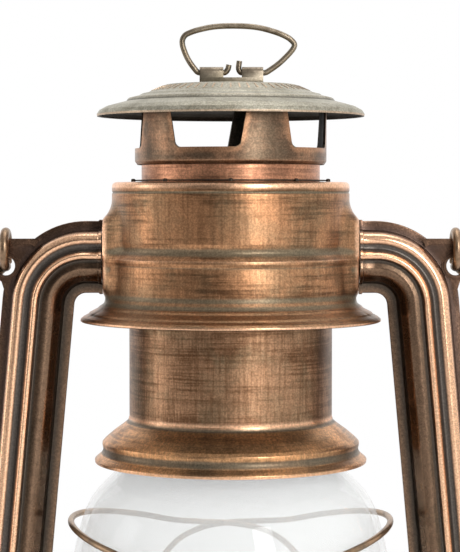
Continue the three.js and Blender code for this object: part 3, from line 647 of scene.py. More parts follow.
class Tree:
    """Adds nodes to one node tree and links them."""

    def __init__(self, tree: bpy.types.NodeTree) -> None:
        """Keeps the tree that the nodes go into."""
        self.tree = tree

    def feed(self, socket: Socket, value: object) -> None:
        """Links a socket to an input, or sets the input's value.

        Args:
            socket: The input.
            value: A socket or a plain value.
        """
        if isinstance(value, Socket):
            self.tree.links.new(value, socket)
        elif isinstance(value, tuple) and socket.type == "RGBA":
            socket.default_value = (*value, 1.0)[:4]
        else:
            socket.default_value = value

    def node(self, kind: str, inputs: dict | None = None, **settings: object) -> bpy.types.Node:
        """Adds a node.

        Args:
            kind: Blender's name of the node type.
            inputs: Values or sockets, by the input's name or number.
            settings: The node's own settings.

        Returns:
            The node.
        """
        node = self.tree.nodes.new(kind)
        for name, value in settings.items():
            setattr(node, name, value)
        for key, value in (inputs or {}).items():
            self.feed(node.inputs[key], value)
        return node

    def math(self, operation: str, a: object, b: object = 0.0, clamp: bool = False) -> Socket:
        """Operation of two values."""
        return self.node("ShaderNodeMath", {0: a, 1: b}, operation=operation, use_clamp=clamp).outputs[0]

    def plus(self, a: object, b: object) -> Socket:
        """Sum of two values."""
        return self.math("ADD", a, b)

    def times(self, a: object, b: object) -> Socket:
        """Product of two values."""
        return self.math("MULTIPLY", a, b)

    def vector(self, operation: str, a: object, b: object) -> Socket:
        """Operation of two vectors."""
        return self.node("ShaderNodeVectorMath", {0: a, 1: b}, operation=operation).outputs[0]

    def span(self, value: object, low: float, high: float, start: float = 0.0, stop: float = 1.0) -> Socket:
        """Maps low to high smoothly onto start to stop."""
        inputs = {"Value": value, "From Min": low, "From Max": high, "To Min": start, "To Max": stop}
        return self.node("ShaderNodeMapRange", inputs, interpolation_type="SMOOTHSTEP").outputs[0]

    def blend(self, share: object, a: object, b: object, kind: str = "MIX") -> Socket:
        """Mixes two colours.

        Args:
            share: Share of the second colour.
            a: First colour.
            b: Second colour.
            kind: Blend mode.

        Returns:
            The mixed colour.
        """
        node = self.node("ShaderNodeMix", data_type="RGBA", blend_type=kind)
        self.feed(node.inputs[0], share)
        self.feed(node.inputs[6], a)
        self.feed(node.inputs[7], b)
        return node.outputs[2]

    def scaled(self, vector: object, scale: Spot) -> Socket:
        """A vector stretched by a scale."""
        return self.node("ShaderNodeMapping", {"Vector": vector, "Scale": scale}).outputs[0]

    def noise(
        self, vector: object, scale: object, detail: float = 4.0, rough: float = 0.55, bend: float = 0.0
    ) -> Socket:
        """Soft noise from 0 to 1."""
        inputs = {"Vector": vector, "Scale": scale, "Detail": detail, "Roughness": rough, "Distortion": bend}
        return self.node("ShaderNodeTexNoise", inputs).outputs[0]

    def surface(self, inputs: dict) -> None:
        """Ends a material in a plain surface with these inputs."""
        shader = self.node("ShaderNodeBsdfPrincipled", inputs)
        self.node("ShaderNodeOutputMaterial", {"Surface": shader.outputs[0]})

    def group(self, group: bpy.types.NodeTree, inputs: dict) -> Sockets:
        """Places a shared effect and returns its outputs."""
        return self.node("ShaderNodeGroup", inputs, node_tree=group).outputs

    def attribute(self, name: str) -> bpy.types.Node:
        """Reads one of the piece's own attributes."""
        return self.node("ShaderNodeAttribute", attribute_name=name)


def empty_material(name: str) -> tuple[Material, Tree]:
    """Makes a material with no nodes.

    Args:
        name: The material's name.

    Returns:
        The material, and the helper that adds its nodes.
    """
    material = bpy.data.materials.new(name)
    material.use_nodes = True
    material.node_tree.nodes.clear()
    return material, Tree(material.node_tree)


class Effect:
    """A shader node group that the finishes share, built at its first use."""

    name: str
    inputs: dict[str, tuple[str, float | None]]
    masks: tuple[str, ...]

    @classmethod
    def group(cls) -> bpy.types.NodeTree:
        """Makes or finds the group, with its inputs and with masks that run from 0 to 1.

        Returns:
            The node group.
        """
        if cls.name in bpy.data.node_groups:
            return bpy.data.node_groups[cls.name]
        tree = bpy.data.node_groups.new(cls.name, "ShaderNodeTree")
        for label, (kind, default) in cls.inputs.items():
            socket = tree.interface.new_socket(label, in_out="INPUT", socket_type=kind)
            if default is not None:
                socket.default_value = default
        for label in cls.masks:
            tree.interface.new_socket(label, in_out="OUTPUT", socket_type="NodeSocketFloat")
        source = tree.nodes.new("NodeGroupInput")
        result = tree.nodes.new("NodeGroupOutput")
        for label, value in zip(cls.masks, cls.shaded(Tree(tree), source.outputs)):
            tree.links.new(value, result.inputs[label])
        return tree

    @staticmethod
    def shaded(tree: Tree, given: Sockets) -> tuple[Socket, ...]:
        """Adds the effect's nodes.

        Args:
            tree: Helper that adds them.
            given: The inputs.

        Returns:
            One value for each mask.
        """
        raise NotImplementedError


class Brushing(Effect):
    """Fine brush streaks, and the fainter hatch that crosses them."""

    name = "brushing"
    inputs = {"Flow": ("NodeSocketVector", None), "Crossing": ("NodeSocketVector", None)}
    masks = ("Streaks", "Hatch", "Fine")

    @staticmethod
    def shaded(tree: Tree, given: Sockets) -> tuple[Socket, ...]:
        """Adds the effect's nodes.

        Args:
            tree: Helper that adds them.
            given: The inputs.

        Returns:
            One value for each mask.
        """
        fine = tree.noise(given["Flow"], 1.0, 3.0, 0.62)
        broad = tree.noise(given["Flow"], 0.23, 4.0, 0.6, 0.3)
        both = tree.plus(tree.times(fine, 0.55), tree.times(broad, 0.45))
        hatch = tree.noise(given["Crossing"], 1.0, 3.0, 0.6)
        return tree.span(both, 0.37, 0.63), tree.span(hatch, 0.38, 0.66), fine


class Mottling(Effect):
    """Cloudy patches, small stains and fine speckles."""

    name = "mottling"
    inputs = {"Place": ("NodeSocketVector", None), "Size": ("NodeSocketFloat", 20.0)}
    masks = ("Clouds", "Olive", "Stains", "Specks")

    @staticmethod
    def shaded(tree: Tree, given: Sockets) -> tuple[Socket, ...]:
        """Adds the effect's nodes.

        Args:
            tree: Helper that adds them.
            given: The inputs.

        Returns:
            One value for each mask.
        """
        place, size = given["Place"], given["Size"]
        clouds = tree.noise(place, tree.math("DIVIDE", 1.0, size), 6.0, 0.6, 0.7)
        other = tree.vector("ADD", place, (31.0, 17.0, 9.0))
        olive = tree.noise(other, tree.math("DIVIDE", 1.3, size), 5.0, 0.62, 0.5)
        stains = tree.noise(place, tree.math("DIVIDE", 4.6, size), 5.0, 0.7, 0.3)
        specks = tree.noise(place, 1.9, 2.0, 0.6)
        return (
            tree.span(clouds, 0.38, 0.62), tree.span(olive, 0.4, 0.62), tree.span(stains, 0.5, 0.7),
            tree.span(specks, 0.35, 0.68),
        )


class Handling(Effect):
    """Polished ridges, and hollows darkened with dirt and painted shade, broken up by noise."""

    name = "handling"
    inputs = {
        "Place": ("NodeSocketVector", None), "Ridge": ("NodeSocketFloat", 0.0),
        "Hollow": ("NodeSocketFloat", 0.0),
    }
    masks = ("Polish", "Dirt")

    @staticmethod
    def shaded(tree: Tree, given: Sockets) -> tuple[Socket, ...]:
        """Adds the effect's nodes.

        Args:
            tree: Helper that adds them.
            given: The inputs.

        Returns:
            One value for each mask.
        """
        uneven = tree.noise(given["Place"], 0.35, 5.0, 0.65)
        lift = tree.times(tree.math("SUBTRACT", uneven, 0.5), 0.7)
        polish = tree.plus(given["Ridge"], tree.times(lift, given["Ridge"]))
        dirt = tree.plus(given["Hollow"], tree.times(lift, 0.35))
        return tree.span(polish, 0.12, 0.6), tree.span(dirt, 0.14, 0.75)


class Scratches(Effect):
    """Clusters of hair scratches across the brushing."""

    name = "scratches"
    inputs = {"Place": ("NodeSocketVector", None)}
    masks = ("Hairs",)

    @staticmethod
    def shaded(tree: Tree, given: Sockets) -> tuple[Socket, ...]:
        """Adds the effect's nodes.

        Args:
            tree: Helper that adds them.
            given: The inputs.

        Returns:
            One value for each mask.
        """
        bent = tree.vector("ADD", given["Place"], tree.scaled(given["Place"], (0.05, 0.02, 0.0)))
        hairs = tree.noise(tree.scaled(bent, (5.5, 5.5, 0.16)), 1.0, 1.0, 0.4)
        where = tree.noise(given["Place"], 0.055, 3.0, 0.6)
        lines = tree.span(hairs, 0.66, 0.74)
        return (tree.times(lines, tree.span(where, 0.5, 0.68)),)


@dataclass(frozen=True)
class TubeBands:
    """Colour bands along a tube, placed by the distance from its middle line to its outer seam."""

    lee: Span = (-1.3, -0.5)
    valley: Span = (1.9, 3.7)
    seam: Span = (6.6, 7.6)
    shadow: Colour = (0.035, 0.026, 0.018)
    grey: Colour = (0.085, 0.072, 0.062)
    brown: Colour = (0.075, 0.04, 0.028)

    def laid(self, tree: Tree, flow: Socket, colour: Socket) -> Socket:
        """Lays the bands over a colour.

        Args:
            tree: The material's helper.
            flow: The surface's flow, whose third value is the distance.
            colour: The colour below.

        Returns:
            The banded colour.
        """
        across = tree.node("ShaderNodeSeparateXYZ", {0: flow}).outputs["Z"]
        shade = tree.span(across, self.lee[0], self.lee[1], 0.8, 0.0)
        colour = tree.blend(shade, colour, self.shadow)
        low, high = self.valley
        grey = tree.times(tree.span(across, low - 0.6, low), tree.span(across, high, high + 0.9, 1, 0))
        colour = tree.blend(tree.times(grey, 0.8), colour, self.grey)
        seam = tree.span(across, self.seam[0], self.seam[1], 0.0, 0.85)
        return tree.blend(seam, colour, self.brown)


@dataclass(frozen=True)
class AgedMetal:
    """A brushed metal with brown age, copper wear and olive patina."""

    name: str
    brown: Colour = (0.145, 0.07, 0.034)
    copper: Colour = (0.51, 0.265, 0.135)
    bright: Colour = (0.93, 0.55, 0.34)
    olive: Colour = (0.2, 0.165, 0.1)
    dirt: Colour = (0.11, 0.10, 0.07)
    grain: Grain = Grain.AROUND
    fineness: float = 1.0
    copper_share: float = 0.5
    olive_share: float = 0.42
    polish_share: float = 0.85
    dirt_and_shade_share: float = 0.85
    streak_share: float = 0.5
    hatch_share: float = 0.25
    roughness: float = 0.36
    patch: float = 22.0
    relief: float = 0.25
    speckle: float = 0.2
    bands: TubeBands | None = None

    def grains(self) -> tuple[Spot, Spot]:
        """How the flow is stretched for the streaks, and for the hatch that crosses them.

        Returns:
            Both scales of the flow.
        """
        fine = self.fineness
        if self.grain is Grain.AROUND:
            return (0.05 * fine, 0.05 * fine, 1.25 * fine), (1.1 * fine, 1.1 * fine, 0.06 * fine)
        if self.grain is Grain.ALONG:
            return (1.1 * fine, 0.05 * fine, 0.0), (0.1 * fine, 0.9 * fine, 0.0)
        return (0.6 * fine, 0.6 * fine, 0.6 * fine), (1.4 * fine, 1.4 * fine, 1.4 * fine)

    def material(self) -> Material:
        """Builds the finish.

        Returns:
            The material.
        """
        material, tree = empty_material(self.name)
        place = tree.scaled(tree.node("ShaderNodeTexCoord").outputs["Object"], (1 / MM, 1 / MM, 1 / MM))
        flow = place if self.grain is Grain.LOOSE else tree.attribute("flow").outputs["Vector"]
        streak_scale, hatch_scale = self.grains()
        brush = tree.group(Brushing.group(), {
            "Flow": tree.scaled(flow, streak_scale), "Crossing": tree.scaled(flow, hatch_scale),
        })
        mottle = tree.group(Mottling.group(), {"Place": place, "Size": self.patch})
        handled = tree.group(Handling.group(), {
            "Place": place, "Ridge": tree.attribute("ridge").outputs["Fac"],
            "Hollow": tree.attribute("hollow").outputs["Fac"],
        })
        hairs = tree.group(Scratches.group(), {"Place": place})["Hairs"]

        streaks = tree.times(brush["Streaks"], self.streak_share)
        worn = tree.plus(streaks, tree.times(mottle["Clouds"], 1 - self.streak_share))
        low = 0.9 - self.copper_share
        colour = tree.blend(tree.span(worn, low - 0.34, low + 0.34), self.brown, self.copper)
        aged = tree.times(mottle["Olive"], self.olive_share)
        colour = tree.blend(aged, colour, self.olive)
        colour = tree.blend(tree.times(mottle["Stains"], 0.4), colour, self.brown)
        colour = tree.blend(tree.times(brush["Hatch"], self.hatch_share), colour, self.brown)
        polish = tree.times(handled["Polish"], self.polish_share)
        colour = tree.blend(polish, colour, self.bright)
        colour = tree.blend(tree.times(hairs, 0.42), colour, self.bright)
        # Dirt plus painted shade: hollows and creases darken towards the dirt colour.
        dirt_and_shade_mask = tree.times(handled["Dirt"], self.dirt_and_shade_share)
        colour = tree.blend(dirt_and_shade_mask, colour, self.dirt)
        if self.bands:
            colour = self.bands.laid(tree, flow, colour)
        specks = tree.span(mottle["Specks"], 0.0, 1.0, 1 - self.speckle, 1 + self.speckle * 0.8)
        colour = tree.vector("SCALE", colour, (0, 0, 0))
        tree.feed(colour.node.inputs["Scale"], specks)

        rough = tree.plus(self.roughness, tree.times(mottle["Stains"], 0.1))
        rough = tree.math("SUBTRACT", rough, tree.times(polish, 0.08))
        rough = tree.math("ADD", rough, tree.times(dirt_and_shade_mask, 0.06), clamp=True)
        metal = tree.math("SUBTRACT", 0.97, tree.times(dirt_and_shade_mask, 0.2), clamp=True)
        height = tree.plus(tree.times(brush["Fine"], 0.5), tree.times(hairs, -0.5))
        height = tree.math("SUBTRACT", height, tree.times(brush["Hatch"], self.hatch_share * 0.5))
        bump = tree.node("ShaderNodeBump", {"Height": height, "Strength": self.relief, "Distance": 0.08 * MM})
        tree.surface({
            "Base Color": colour, "Roughness": rough, "Metallic": metal, "Normal": bump.outputs[0],
        })
        return material


@dataclass(frozen=True)
class ClearGlass:
    """Thin blown glass with a trace of dust."""

    name: str = "clear_glass"
    tint: Colour = WHITE
    dust: Colour = (0.94, 0.95, 0.94)
    refraction: float = 1.06

    def material(self) -> Material:
        """Builds the finish.

        Returns:
            The material.
        """
        material, tree = empty_material(self.name)
        place = tree.node("ShaderNodeTexCoord").outputs["Object"]
        dusty = tree.noise(place, 700.0, 4.0, 0.6)
        colour = tree.blend(tree.span(dusty, 0.55, 0.85, 0.0, 0.5), self.tint, self.dust)
        tree.surface({
            "Base Color": colour, "Roughness": 0.0, "Metallic": 0.0, "Transmission Weight": 1.0,
            "IOR": self.refraction,
        })
        return material


@dataclass(frozen=True)
class Cotton:
    """Flat woven wick, charred at its tip."""

    name: str = "wick_cotton"
    pale: Colour = (0.72, 0.67, 0.55)
    weave: Colour = (0.5, 0.45, 0.34)
    charred: Colour = (0.03, 0.026, 0.022)
    char_height: float = 79.0

    def material(self) -> Material:
        """Builds the finish.

        Returns:
            The material.
        """
        material, tree = empty_material(self.name)
        place = tree.node("ShaderNodeTexCoord").outputs["Object"]
        lines = {"Vector": tree.scaled(place, (0, 1, 1)), "Scale": 420.0, "Distortion": 1.5}
        threads = tree.node("ShaderNodeTexWave", lines, bands_direction="DIAGONAL").outputs[1]
        fuzz = tree.noise(place, 1800.0, 3.0)
        height = tree.node("ShaderNodeSeparateXYZ", {0: place}).outputs["Z"]
        char = tree.span(height, (self.char_height - 1.5) * MM, (self.char_height + 1.0) * MM)
        colour = tree.blend(tree.times(threads, 0.5), self.pale, self.weave)
        colour = tree.blend(char, colour, self.charred)
        relief = tree.plus(threads, tree.times(fuzz, 0.4))
        bump = tree.node("ShaderNodeBump", {"Height": relief, "Strength": 0.7, "Distance": 0.2 * MM})
        tree.surface({"Base Color": colour, "Roughness": 0.95, "Normal": bump.outputs[0]})
        return material


@dataclass(frozen=True)
class SealRubber:
    """Matt oil-proof rubber."""

    name: str = "seal_rubber"
    black: Colour = (0.03, 0.03, 0.03)
    bloomed: Colour = (0.12, 0.115, 0.11)

    def material(self) -> Material:
        """Builds the finish.

        Returns:
            The material.
        """
        material, tree = empty_material(self.name)
        place = tree.node("ShaderNodeTexCoord").outputs["Object"]
        bloom = tree.noise(place, 260.0, 4.0)
        colour = tree.blend(tree.span(bloom, 0.5, 0.75, 0.0, 0.3), self.black, self.bloomed)
        bump = tree.node("ShaderNodeBump", {"Height": bloom, "Strength": 0.3, "Distance": 0.1 * MM})
        rough = tree.span(bloom, 0.3, 0.7, 0.65, 0.85)
        tree.surface({"Base Color": colour, "Roughness": rough, "Normal": bump.outputs[0]})
        return material


class Finish(Enum):
    """The lantern's finishes, each with the record's slot that it stands for."""

    CANOPY_COPPER = ("aged_copper", AgedMetal(
        "canopy_copper", copper=(0.51, 0.255, 0.125), dirt=(0.17, 0.14, 0.09), copper_share=0.5,
        hatch_share=0.4, streak_share=0.6))
    FLUE_COPPER = ("aged_copper", AgedMetal(
        "flue_copper", copper=(0.43, 0.24, 0.135), copper_share=0.48, olive_share=0.45, hatch_share=0.55,
        streak_share=0.6, fineness=1.2))
    PLATE_COPPER = ("aged_copper", AgedMetal(
        "plate_copper", brown=(0.27, 0.145, 0.072), copper=(0.78, 0.4, 0.18), copper_share=0.52,
        olive_share=0.3, dirt=(0.12, 0.105, 0.075), polish_share=0.6, hatch_share=0.5))
    NECK_COPPER = ("aged_copper", AgedMetal(
        "neck_copper", brown=(0.26, 0.12, 0.07), copper=(0.68, 0.32, 0.18), copper_share=0.6,
        olive_share=0.15))
    TUBE_BRONZE = ("aged_brown", AgedMetal(
        "tube_bronze", brown=(0.12, 0.07, 0.042), copper=(0.46, 0.26, 0.16), dirt=(0.12, 0.105, 0.09),
        grain=Grain.ALONG, copper_share=0.5, olive_share=0.45, patch=30.0, polish_share=1.0, roughness=0.3,
        bands=TubeBands()))
    TANK_BRONZE = ("aged_brown", AgedMetal("tank_bronze", copper_share=0.45, patch=30.0))
    HOOD_OLIVE = ("olive_patina", AgedMetal(
        "hood_olive", brown=(0.3, 0.275, 0.21), copper=(0.46, 0.43, 0.35), olive=(0.36, 0.34, 0.27),
        bright=(0.58, 0.42, 0.29), dirt=(0.09, 0.08, 0.06), copper_share=0.55, olive_share=0.5,
        polish_share=0.75, roughness=0.5, fineness=1.5, relief=0.5, patch=12.0, streak_share=0.35))
    BAND_OLIVE = ("olive_patina", AgedMetal(
        "band_olive", brown=(0.135, 0.08, 0.05), copper=(0.37, 0.2, 0.115), olive=(0.19, 0.155, 0.105),
        bright=(0.75, 0.38, 0.2), copper_share=0.45, olive_share=0.4, polish_share=0.3, streak_share=0.35,
        patch=16.0))
    RING_OLIVE = ("olive_patina", AgedMetal(
        "ring_olive", brown=(0.15, 0.125, 0.09), copper=(0.33, 0.28, 0.21), bright=(0.4, 0.28, 0.2),
        grain=Grain.LOOSE, copper_share=0.5, olive_share=0.5, polish_share=0.15, patch=11.0, roughness=0.4,
        relief=0.08, speckle=0.06))
    BAIL_BRONZE = ("aged_copper", AgedMetal(
        "bail_bronze", brown=(0.12, 0.08, 0.05), copper=(0.34, 0.22, 0.14), grain=Grain.LOOSE,
        copper_share=0.45, polish_share=0.1, patch=14.0, relief=0.08, speckle=0.06))
    GUARD_BRONZE = ("guard_steel", AgedMetal(
        "guard_bronze", brown=(0.13, 0.10, 0.07), copper=(0.38, 0.25, 0.15), grain=Grain.LOOSE,
        copper_share=0.5, polish_share=0.1, patch=12.0, roughness=0.34, relief=0.08, speckle=0.06))
    BURNER_BRASS = ("burner_brass", AgedMetal(
        "burner_brass", brown=(0.26, 0.165, 0.075), copper=(0.52, 0.36, 0.17), bright=(0.8, 0.6, 0.33),
        olive=(0.3, 0.26, 0.13), copper_share=0.6))
    # Near-black finish: a little soot, but mostly painted shade on the faces that look inwards or down, and on
    # the guide ring.
    SOOT_AND_PAINTED_SHADE = ("aged_brown", AgedMetal(
        "soot_and_painted_shade", brown=(0.018, 0.015, 0.012), copper=(0.05, 0.04, 0.03), bright=(0.08, 0.06, 0.045),
        olive=(0.03, 0.028, 0.022), dirt=(0.012, 0.011, 0.01), roughness=0.6))
    CLEAR_GLASS = ("clear_glass", ClearGlass())
    WICK_COTTON = ("wick_cotton", Cotton())
    SEAL_RUBBER = ("seal_rubber", SealRubber())

    @property
    def slot(self) -> str:
        """The record's slot."""
        return self.value[0]

    @property
    def material(self) -> Material:
        """The finish's material, built at its first use."""
        finish = self.value[1]
        return bpy.data.materials.get(finish.name) or finish.material()


def inner_faces(mesh: bpy.types.Mesh) -> np.ndarray:
    """Picks the faces that look at the lantern's axis or downwards, which take the near-black painted shade.

    Args:
        mesh: The mesh.

    Returns:
        The faces' numbers.
    """
    count = len(mesh.polygons)
    normals = np.empty(count * 3, np.float32)
    middles = np.empty(count * 3, np.float32)
    mesh.polygons.foreach_get("normal", normals)
    mesh.polygons.foreach_get("center", middles)
    normals, middles = normals.reshape(-1, 3), middles.reshape(-1, 3)
    reach = np.maximum(np.linalg.norm(middles[:, :2], axis=1), 1e-6)
    inward = (normals[:, :2] * middles[:, :2]).sum(axis=1) / reach
    return np.flatnonzero((inward < -0.3) | (normals[:, 2] < -0.75))


def dress(
    piece: Piece, finish: Finish, body: str, *nodes: str,
    inside: Finish | None = None, smooth: float = SMOOTH_BELOW,
) -> Piece:
    """Gives a finished mesh its material, its body and the nodes that it stands for.

    Args:
        piece: A plain mesh piece at the origin.
        finish: The finish.
        body: The body that it rides on.
        nodes: Nodes that it replaces.
        inside: Finish of the faces that look inwards or down, which paints their shade.
        smooth: Edges under this angle are shaded smooth, in degrees.

    Returns:
        The piece.
    """
    mesh = piece.data
    mesh.polygons.foreach_set("use_smooth", [True] * len(mesh.polygons))
    mesh.set_sharp_from_angle(angle=math.radians(smooth))
    if isinstance(finish.value[1], AgedMetal):
        mark_wear(piece)
    mesh.materials.clear()
    mesh.materials.append(finish.material)
    if "flow" not in mesh.attributes:
        lay_flow(piece)
    slots = np.zeros(len(mesh.polygons), np.int32)
    if inside:
        mesh.materials.append(inside.material)
        # Faces that look inwards or down get the near-black painted shade.
        slots[inner_faces(mesh)] = 1
    mesh.polygons.foreach_set("material_index", slots)
    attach(piece, body)
    if nodes:
        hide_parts(*nodes)
    return piece


class NodeTool:
    """A Geometry Nodes tree with named sizes, run once on a piece."""

    name: str
    sizes: dict[str, tuple[str, object]]

    def __init__(self) -> None:
        """Builds the tree from its sizes, each with its socket kind and default."""
        self.tree = bpy.data.node_groups.new(self.name, "GeometryNodeTree")
        self.tree.interface.new_socket("Geometry", in_out="INPUT", socket_type="NodeSocketGeometry")
        for label, (kind, default) in self.sizes.items():
            socket = self.tree.interface.new_socket(label, in_out="INPUT", socket_type=kind)
            if default is not None:
                socket.default_value = default
        self.tree.interface.new_socket("Geometry", in_out="OUTPUT", socket_type="NodeSocketGeometry")
        helper = Tree(self.tree)
        source = self.tree.nodes.new("NodeGroupInput")
        result = self.tree.nodes.new("NodeGroupOutput")
        made = self.shaped(helper, source.outputs)
        realized = helper.node("GeometryNodeRealizeInstances", {0: made}).outputs[0]
        coated = helper.node(
            "GeometryNodeSetMaterial", {"Geometry": realized, "Material": source.outputs["Material"]}
        )
        self.tree.links.new(coated.outputs[0], result.inputs[0])

    def shaped(self, tree: Tree, given: Sockets) -> Socket:
        """Adds the nodes that make the tool's geometry.

        Args:
            tree: Helper that adds them.
            given: The inputs.

        Returns:
            The geometry.
        """
        raise NotImplementedError

    def run(self, piece: Piece, **sizes: object) -> Piece:
        """Runs the tree on a piece and leaves a plain mesh.

        Args:
            piece: The piece that goes in.
            sizes: Values by input name, with underscores for blanks.

        Returns:
            The same object with its new mesh.
        """
        modifier = piece.modifiers.new(self.tree.name, "NODES")
        modifier.node_group = self.tree
        wanted = {name.replace("_", " "): value for name, value in sizes.items()}
        for item in self.tree.interface.items_tree:
            if item.in_out == "INPUT" and item.name.lower() in wanted:
                modifier[item.identifier] = wanted[item.name.lower()]
        piece.update_tag()
        bpy.context.view_layer.update()
        return applied(piece)


def ring_points(tree: Tree, given: Sockets) -> tuple[Socket, Socket]:
    """Spreads points evenly round the axis.

    Args:
        tree: Helper that adds them.
        given: The inputs.

    Returns:
        The points, and the turn at each of them.
    """
    index = tree.node("GeometryNodeInputIndex").outputs[0]
    pitch = tree.math("DIVIDE", 2 * math.pi, given["Count"])
    turn = tree.plus(tree.times(index, pitch), given["Start"])
    x = tree.times(tree.math("COSINE", turn), given["Radius"])
    y = tree.times(tree.math("SINE", turn), given["Radius"])
    spot = tree.node("ShaderNodeCombineXYZ", {0: x, 1: y, 2: given["Height"]}).outputs[0]
    points = tree.node("GeometryNodePoints", {"Count": given["Count"], "Position": spot}).outputs[0]
    return points, tree.node("ShaderNodeCombineXYZ", {2: turn}).outputs[0]


RING_SIZES = {
    "Count": ("NodeSocketInt", 12), "Radius": ("NodeSocketFloat", 0.01), "Height": ("NodeSocketFloat", 0.0),
    "Start": ("NodeSocketFloat", 0.0), "Material": ("NodeSocketMaterial", None),
}


class RingOfCopies(NodeTool):
    """Copies a small shape evenly round the lantern's axis."""

    name = "ring_of_copies"
    sizes = RING_SIZES

    def shaped(self, tree: Tree, given: Sockets) -> Socket:
        """Adds the tool's nodes.

        Args:
            tree: Helper that adds them.
            given: The inputs.

        Returns:
            The geometry.
        """
        points, turn = ring_points(tree, given)
        inputs = {"Points": points, "Instance": given["Geometry"], "Rotation": turn}
        return tree.node("GeometryNodeInstanceOnPoints", inputs).outputs[0]


class RingOfHoles(NodeTool):
    """Punches round holes evenly round the lantern's axis."""

    name = "ring_of_holes"
    sizes = {
        **RING_SIZES, "Hole": ("NodeSocketFloat", 0.001), "Depth": ("NodeSocketFloat", 0.01),
        "Lean": ("NodeSocketFloat", 0.0),
    }

    def shaped(self, tree: Tree, given: Sockets) -> Socket:
        """Adds the tool's nodes.

        Args:
            tree: Helper that adds them.
            given: The inputs.

        Returns:
            The geometry.
        """
        points, turn = ring_points(tree, given)
        punch = tree.node("GeometryNodeMeshCylinder", {
            "Vertices": 20, "Radius": given["Hole"], "Depth": given["Depth"]}).outputs[0]
        tipped = tree.node("GeometryNodeTransform", {"Geometry": punch})
        lean = tree.node("ShaderNodeCombineXYZ", {1: given["Lean"]}).outputs[0]
        tree.tree.links.new(lean, tipped.inputs["Rotation"])
        inputs = {"Points": points, "Instance": tipped.outputs[0], "Rotation": turn}
        punches = tree.node("GeometryNodeInstanceOnPoints", inputs).outputs[0]
        solid = tree.node("GeometryNodeRealizeInstances", {0: punches}).outputs[0]
        holes = tree.node("GeometryNodeMeshBoolean", operation="DIFFERENCE", solver="EXACT")
        tree.tree.links.new(given["Geometry"], holes.inputs[0])
        tree.tree.links.new(solid, holes.inputs[1])
        return holes.outputs[0]


class DrawnWire(NodeTool):
    """Draws a round wire along a line of points."""

    name = "drawn_wire"
    sizes = {
        "Radius": ("NodeSocketFloat", 0.001), "Sides": ("NodeSocketInt", 16),
        "Material": ("NodeSocketMaterial", None),
    }

    def shaped(self, tree: Tree, given: Sockets) -> Socket:
        """Adds the tool's nodes.

        Args:
            tree: Helper that adds them.
            given: The inputs.

        Returns:
            The geometry.
        """
        line = tree.node("GeometryNodeMeshToCurve", {0: given["Geometry"]}).outputs[0]
        length = tree.node("GeometryNodeSplineParameter").outputs["Length"]
        spot = tree.node("ShaderNodeCombineXYZ", {1: tree.math("DIVIDE", length, MM)}).outputs[0]
        marked = tree.node(
            "GeometryNodeStoreNamedAttribute", {"Geometry": line, "Name": "flow", "Value": spot},
            data_type="FLOAT_VECTOR", domain="POINT",
        ).outputs[0]
        section = tree.node(
            "GeometryNodeCurvePrimitiveCircle", {"Resolution": given["Sides"], "Radius": given["Radius"]}
        )
        return tree.node("GeometryNodeCurveToMesh", {
            "Curve": marked, "Profile Curve": section.outputs[0], "Fill Caps": True}).outputs[0]


@dataclass
class Toolbox:
    """The Geometry Nodes tools that the sub-assemblies share."""

    copies: RingOfCopies = field(default_factory=RingOfCopies)
    holes: RingOfHoles = field(default_factory=RingOfHoles)
    wire: DrawnWire = field(default_factory=DrawnWire)

    def drawn(self, points: np.ndarray, radius: float, name: str, finish: Finish, sides: int = 18) -> Piece:
        """Draws a wire.

        Args:
            points: Middle line in millimetres.
            radius: The wire's radius in millimetres.
            name: The piece's name.
            finish: Its finish.
            sides: Steps round the wire.

        Returns:
            The wire as a plain mesh piece.
        """
        mesh = bpy.data.meshes.new(name)
        mesh.from_pydata((points * MM).tolist(), [(i, i + 1) for i in range(len(points) - 1)], [])
        piece = placed(name, mesh)
        self.wire.run(piece, radius=radius * MM, sides=sides, material=finish.material)
        return bevelled(piece, radius * 0.35, 3, 60)

    def ringed(
        self, shape: Shape, name: str, finish: Finish, count: int, radius: float, height: float,
        start: float = 0.0,
    ) -> Piece:
        """Copies a shape round the axis and returns the copies as one piece.

        Args:
            shape: What is copied.
            name: The piece's name.
            finish: Its finish.
            count: Number of copies.
            radius: Their distance from the axis.
            height: Their height.
            start: Turn of the first one, in degrees.

        Returns:
            The piece.
        """
        piece = as_object(shape, name)
        return self.copies.run(
            piece, count=count, radius=radius * MM, height=height * MM, start=math.radians(start),
            material=finish.material)


def joined(piece: Piece, *others: Piece) -> Piece:
    """Adds other pieces' meshes to a piece as loose parts of one mesh.

    Args:
        piece: The piece that stays.
        *others: The pieces that end in it.

    Returns:
        The piece that stays.
    """
    with bpy.context.temp_override(
        active_object=piece, object=piece, selected_objects=[piece, *others],
        selected_editable_objects=[piece, *others]
    ):
        bpy.ops.object.join()
    return piece


def refined(node: str, name: str, width: float) -> Piece:
    """Takes a node's own small shape with its edges broken.

    Args:
        node: The node.
        name: The piece's name.
        width: Width of the broken edges in millimetres.

    Returns:
        The new piece.
    """
    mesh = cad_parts[node].data.copy()
    mesh.name = name
    piece = placed(name, mesh)
    weld = piece.modifiers.new("weld", "WELD")
    weld.merge_threshold = 0.01 * MM
    flat = piece.modifiers.new("flat", "DECIMATE")
    flat.decimate_type = "DISSOLVE"
    flat.angle_limit = math.radians(2)
    applied(piece)
    return lay_flow(bevelled(piece, width))


def tunnel(start: float, end: float, half_width: float, low: float, high: float, corner: float) -> Shape:
    """Cutter for a port with rounded corners that runs along X.

    Args:
        start: X of one end.
        end: X of the other end.
        half_width: Half of its width along Y.
        low: Its floor.
        high: Its roof.
        corner: Radius of its corners.

    Returns:
        The closed cutter.
    """
    middle, half = (low + high) / 2, (high - low) / 2
    corners = [
        (0.0, half), (half_width, half, corner), (half_width, -half, corner),
        (-half_width, -half, corner), (-half_width, half, corner), (0.0, half),
    ]
    path = np.array([[start, 0.0, middle], [end, 0.0, middle]])
    sides = np.array([[0.0, 1.0, 0.0]] * 2)
    return swept(path, sides, rounded(corners, 6)[:-1])


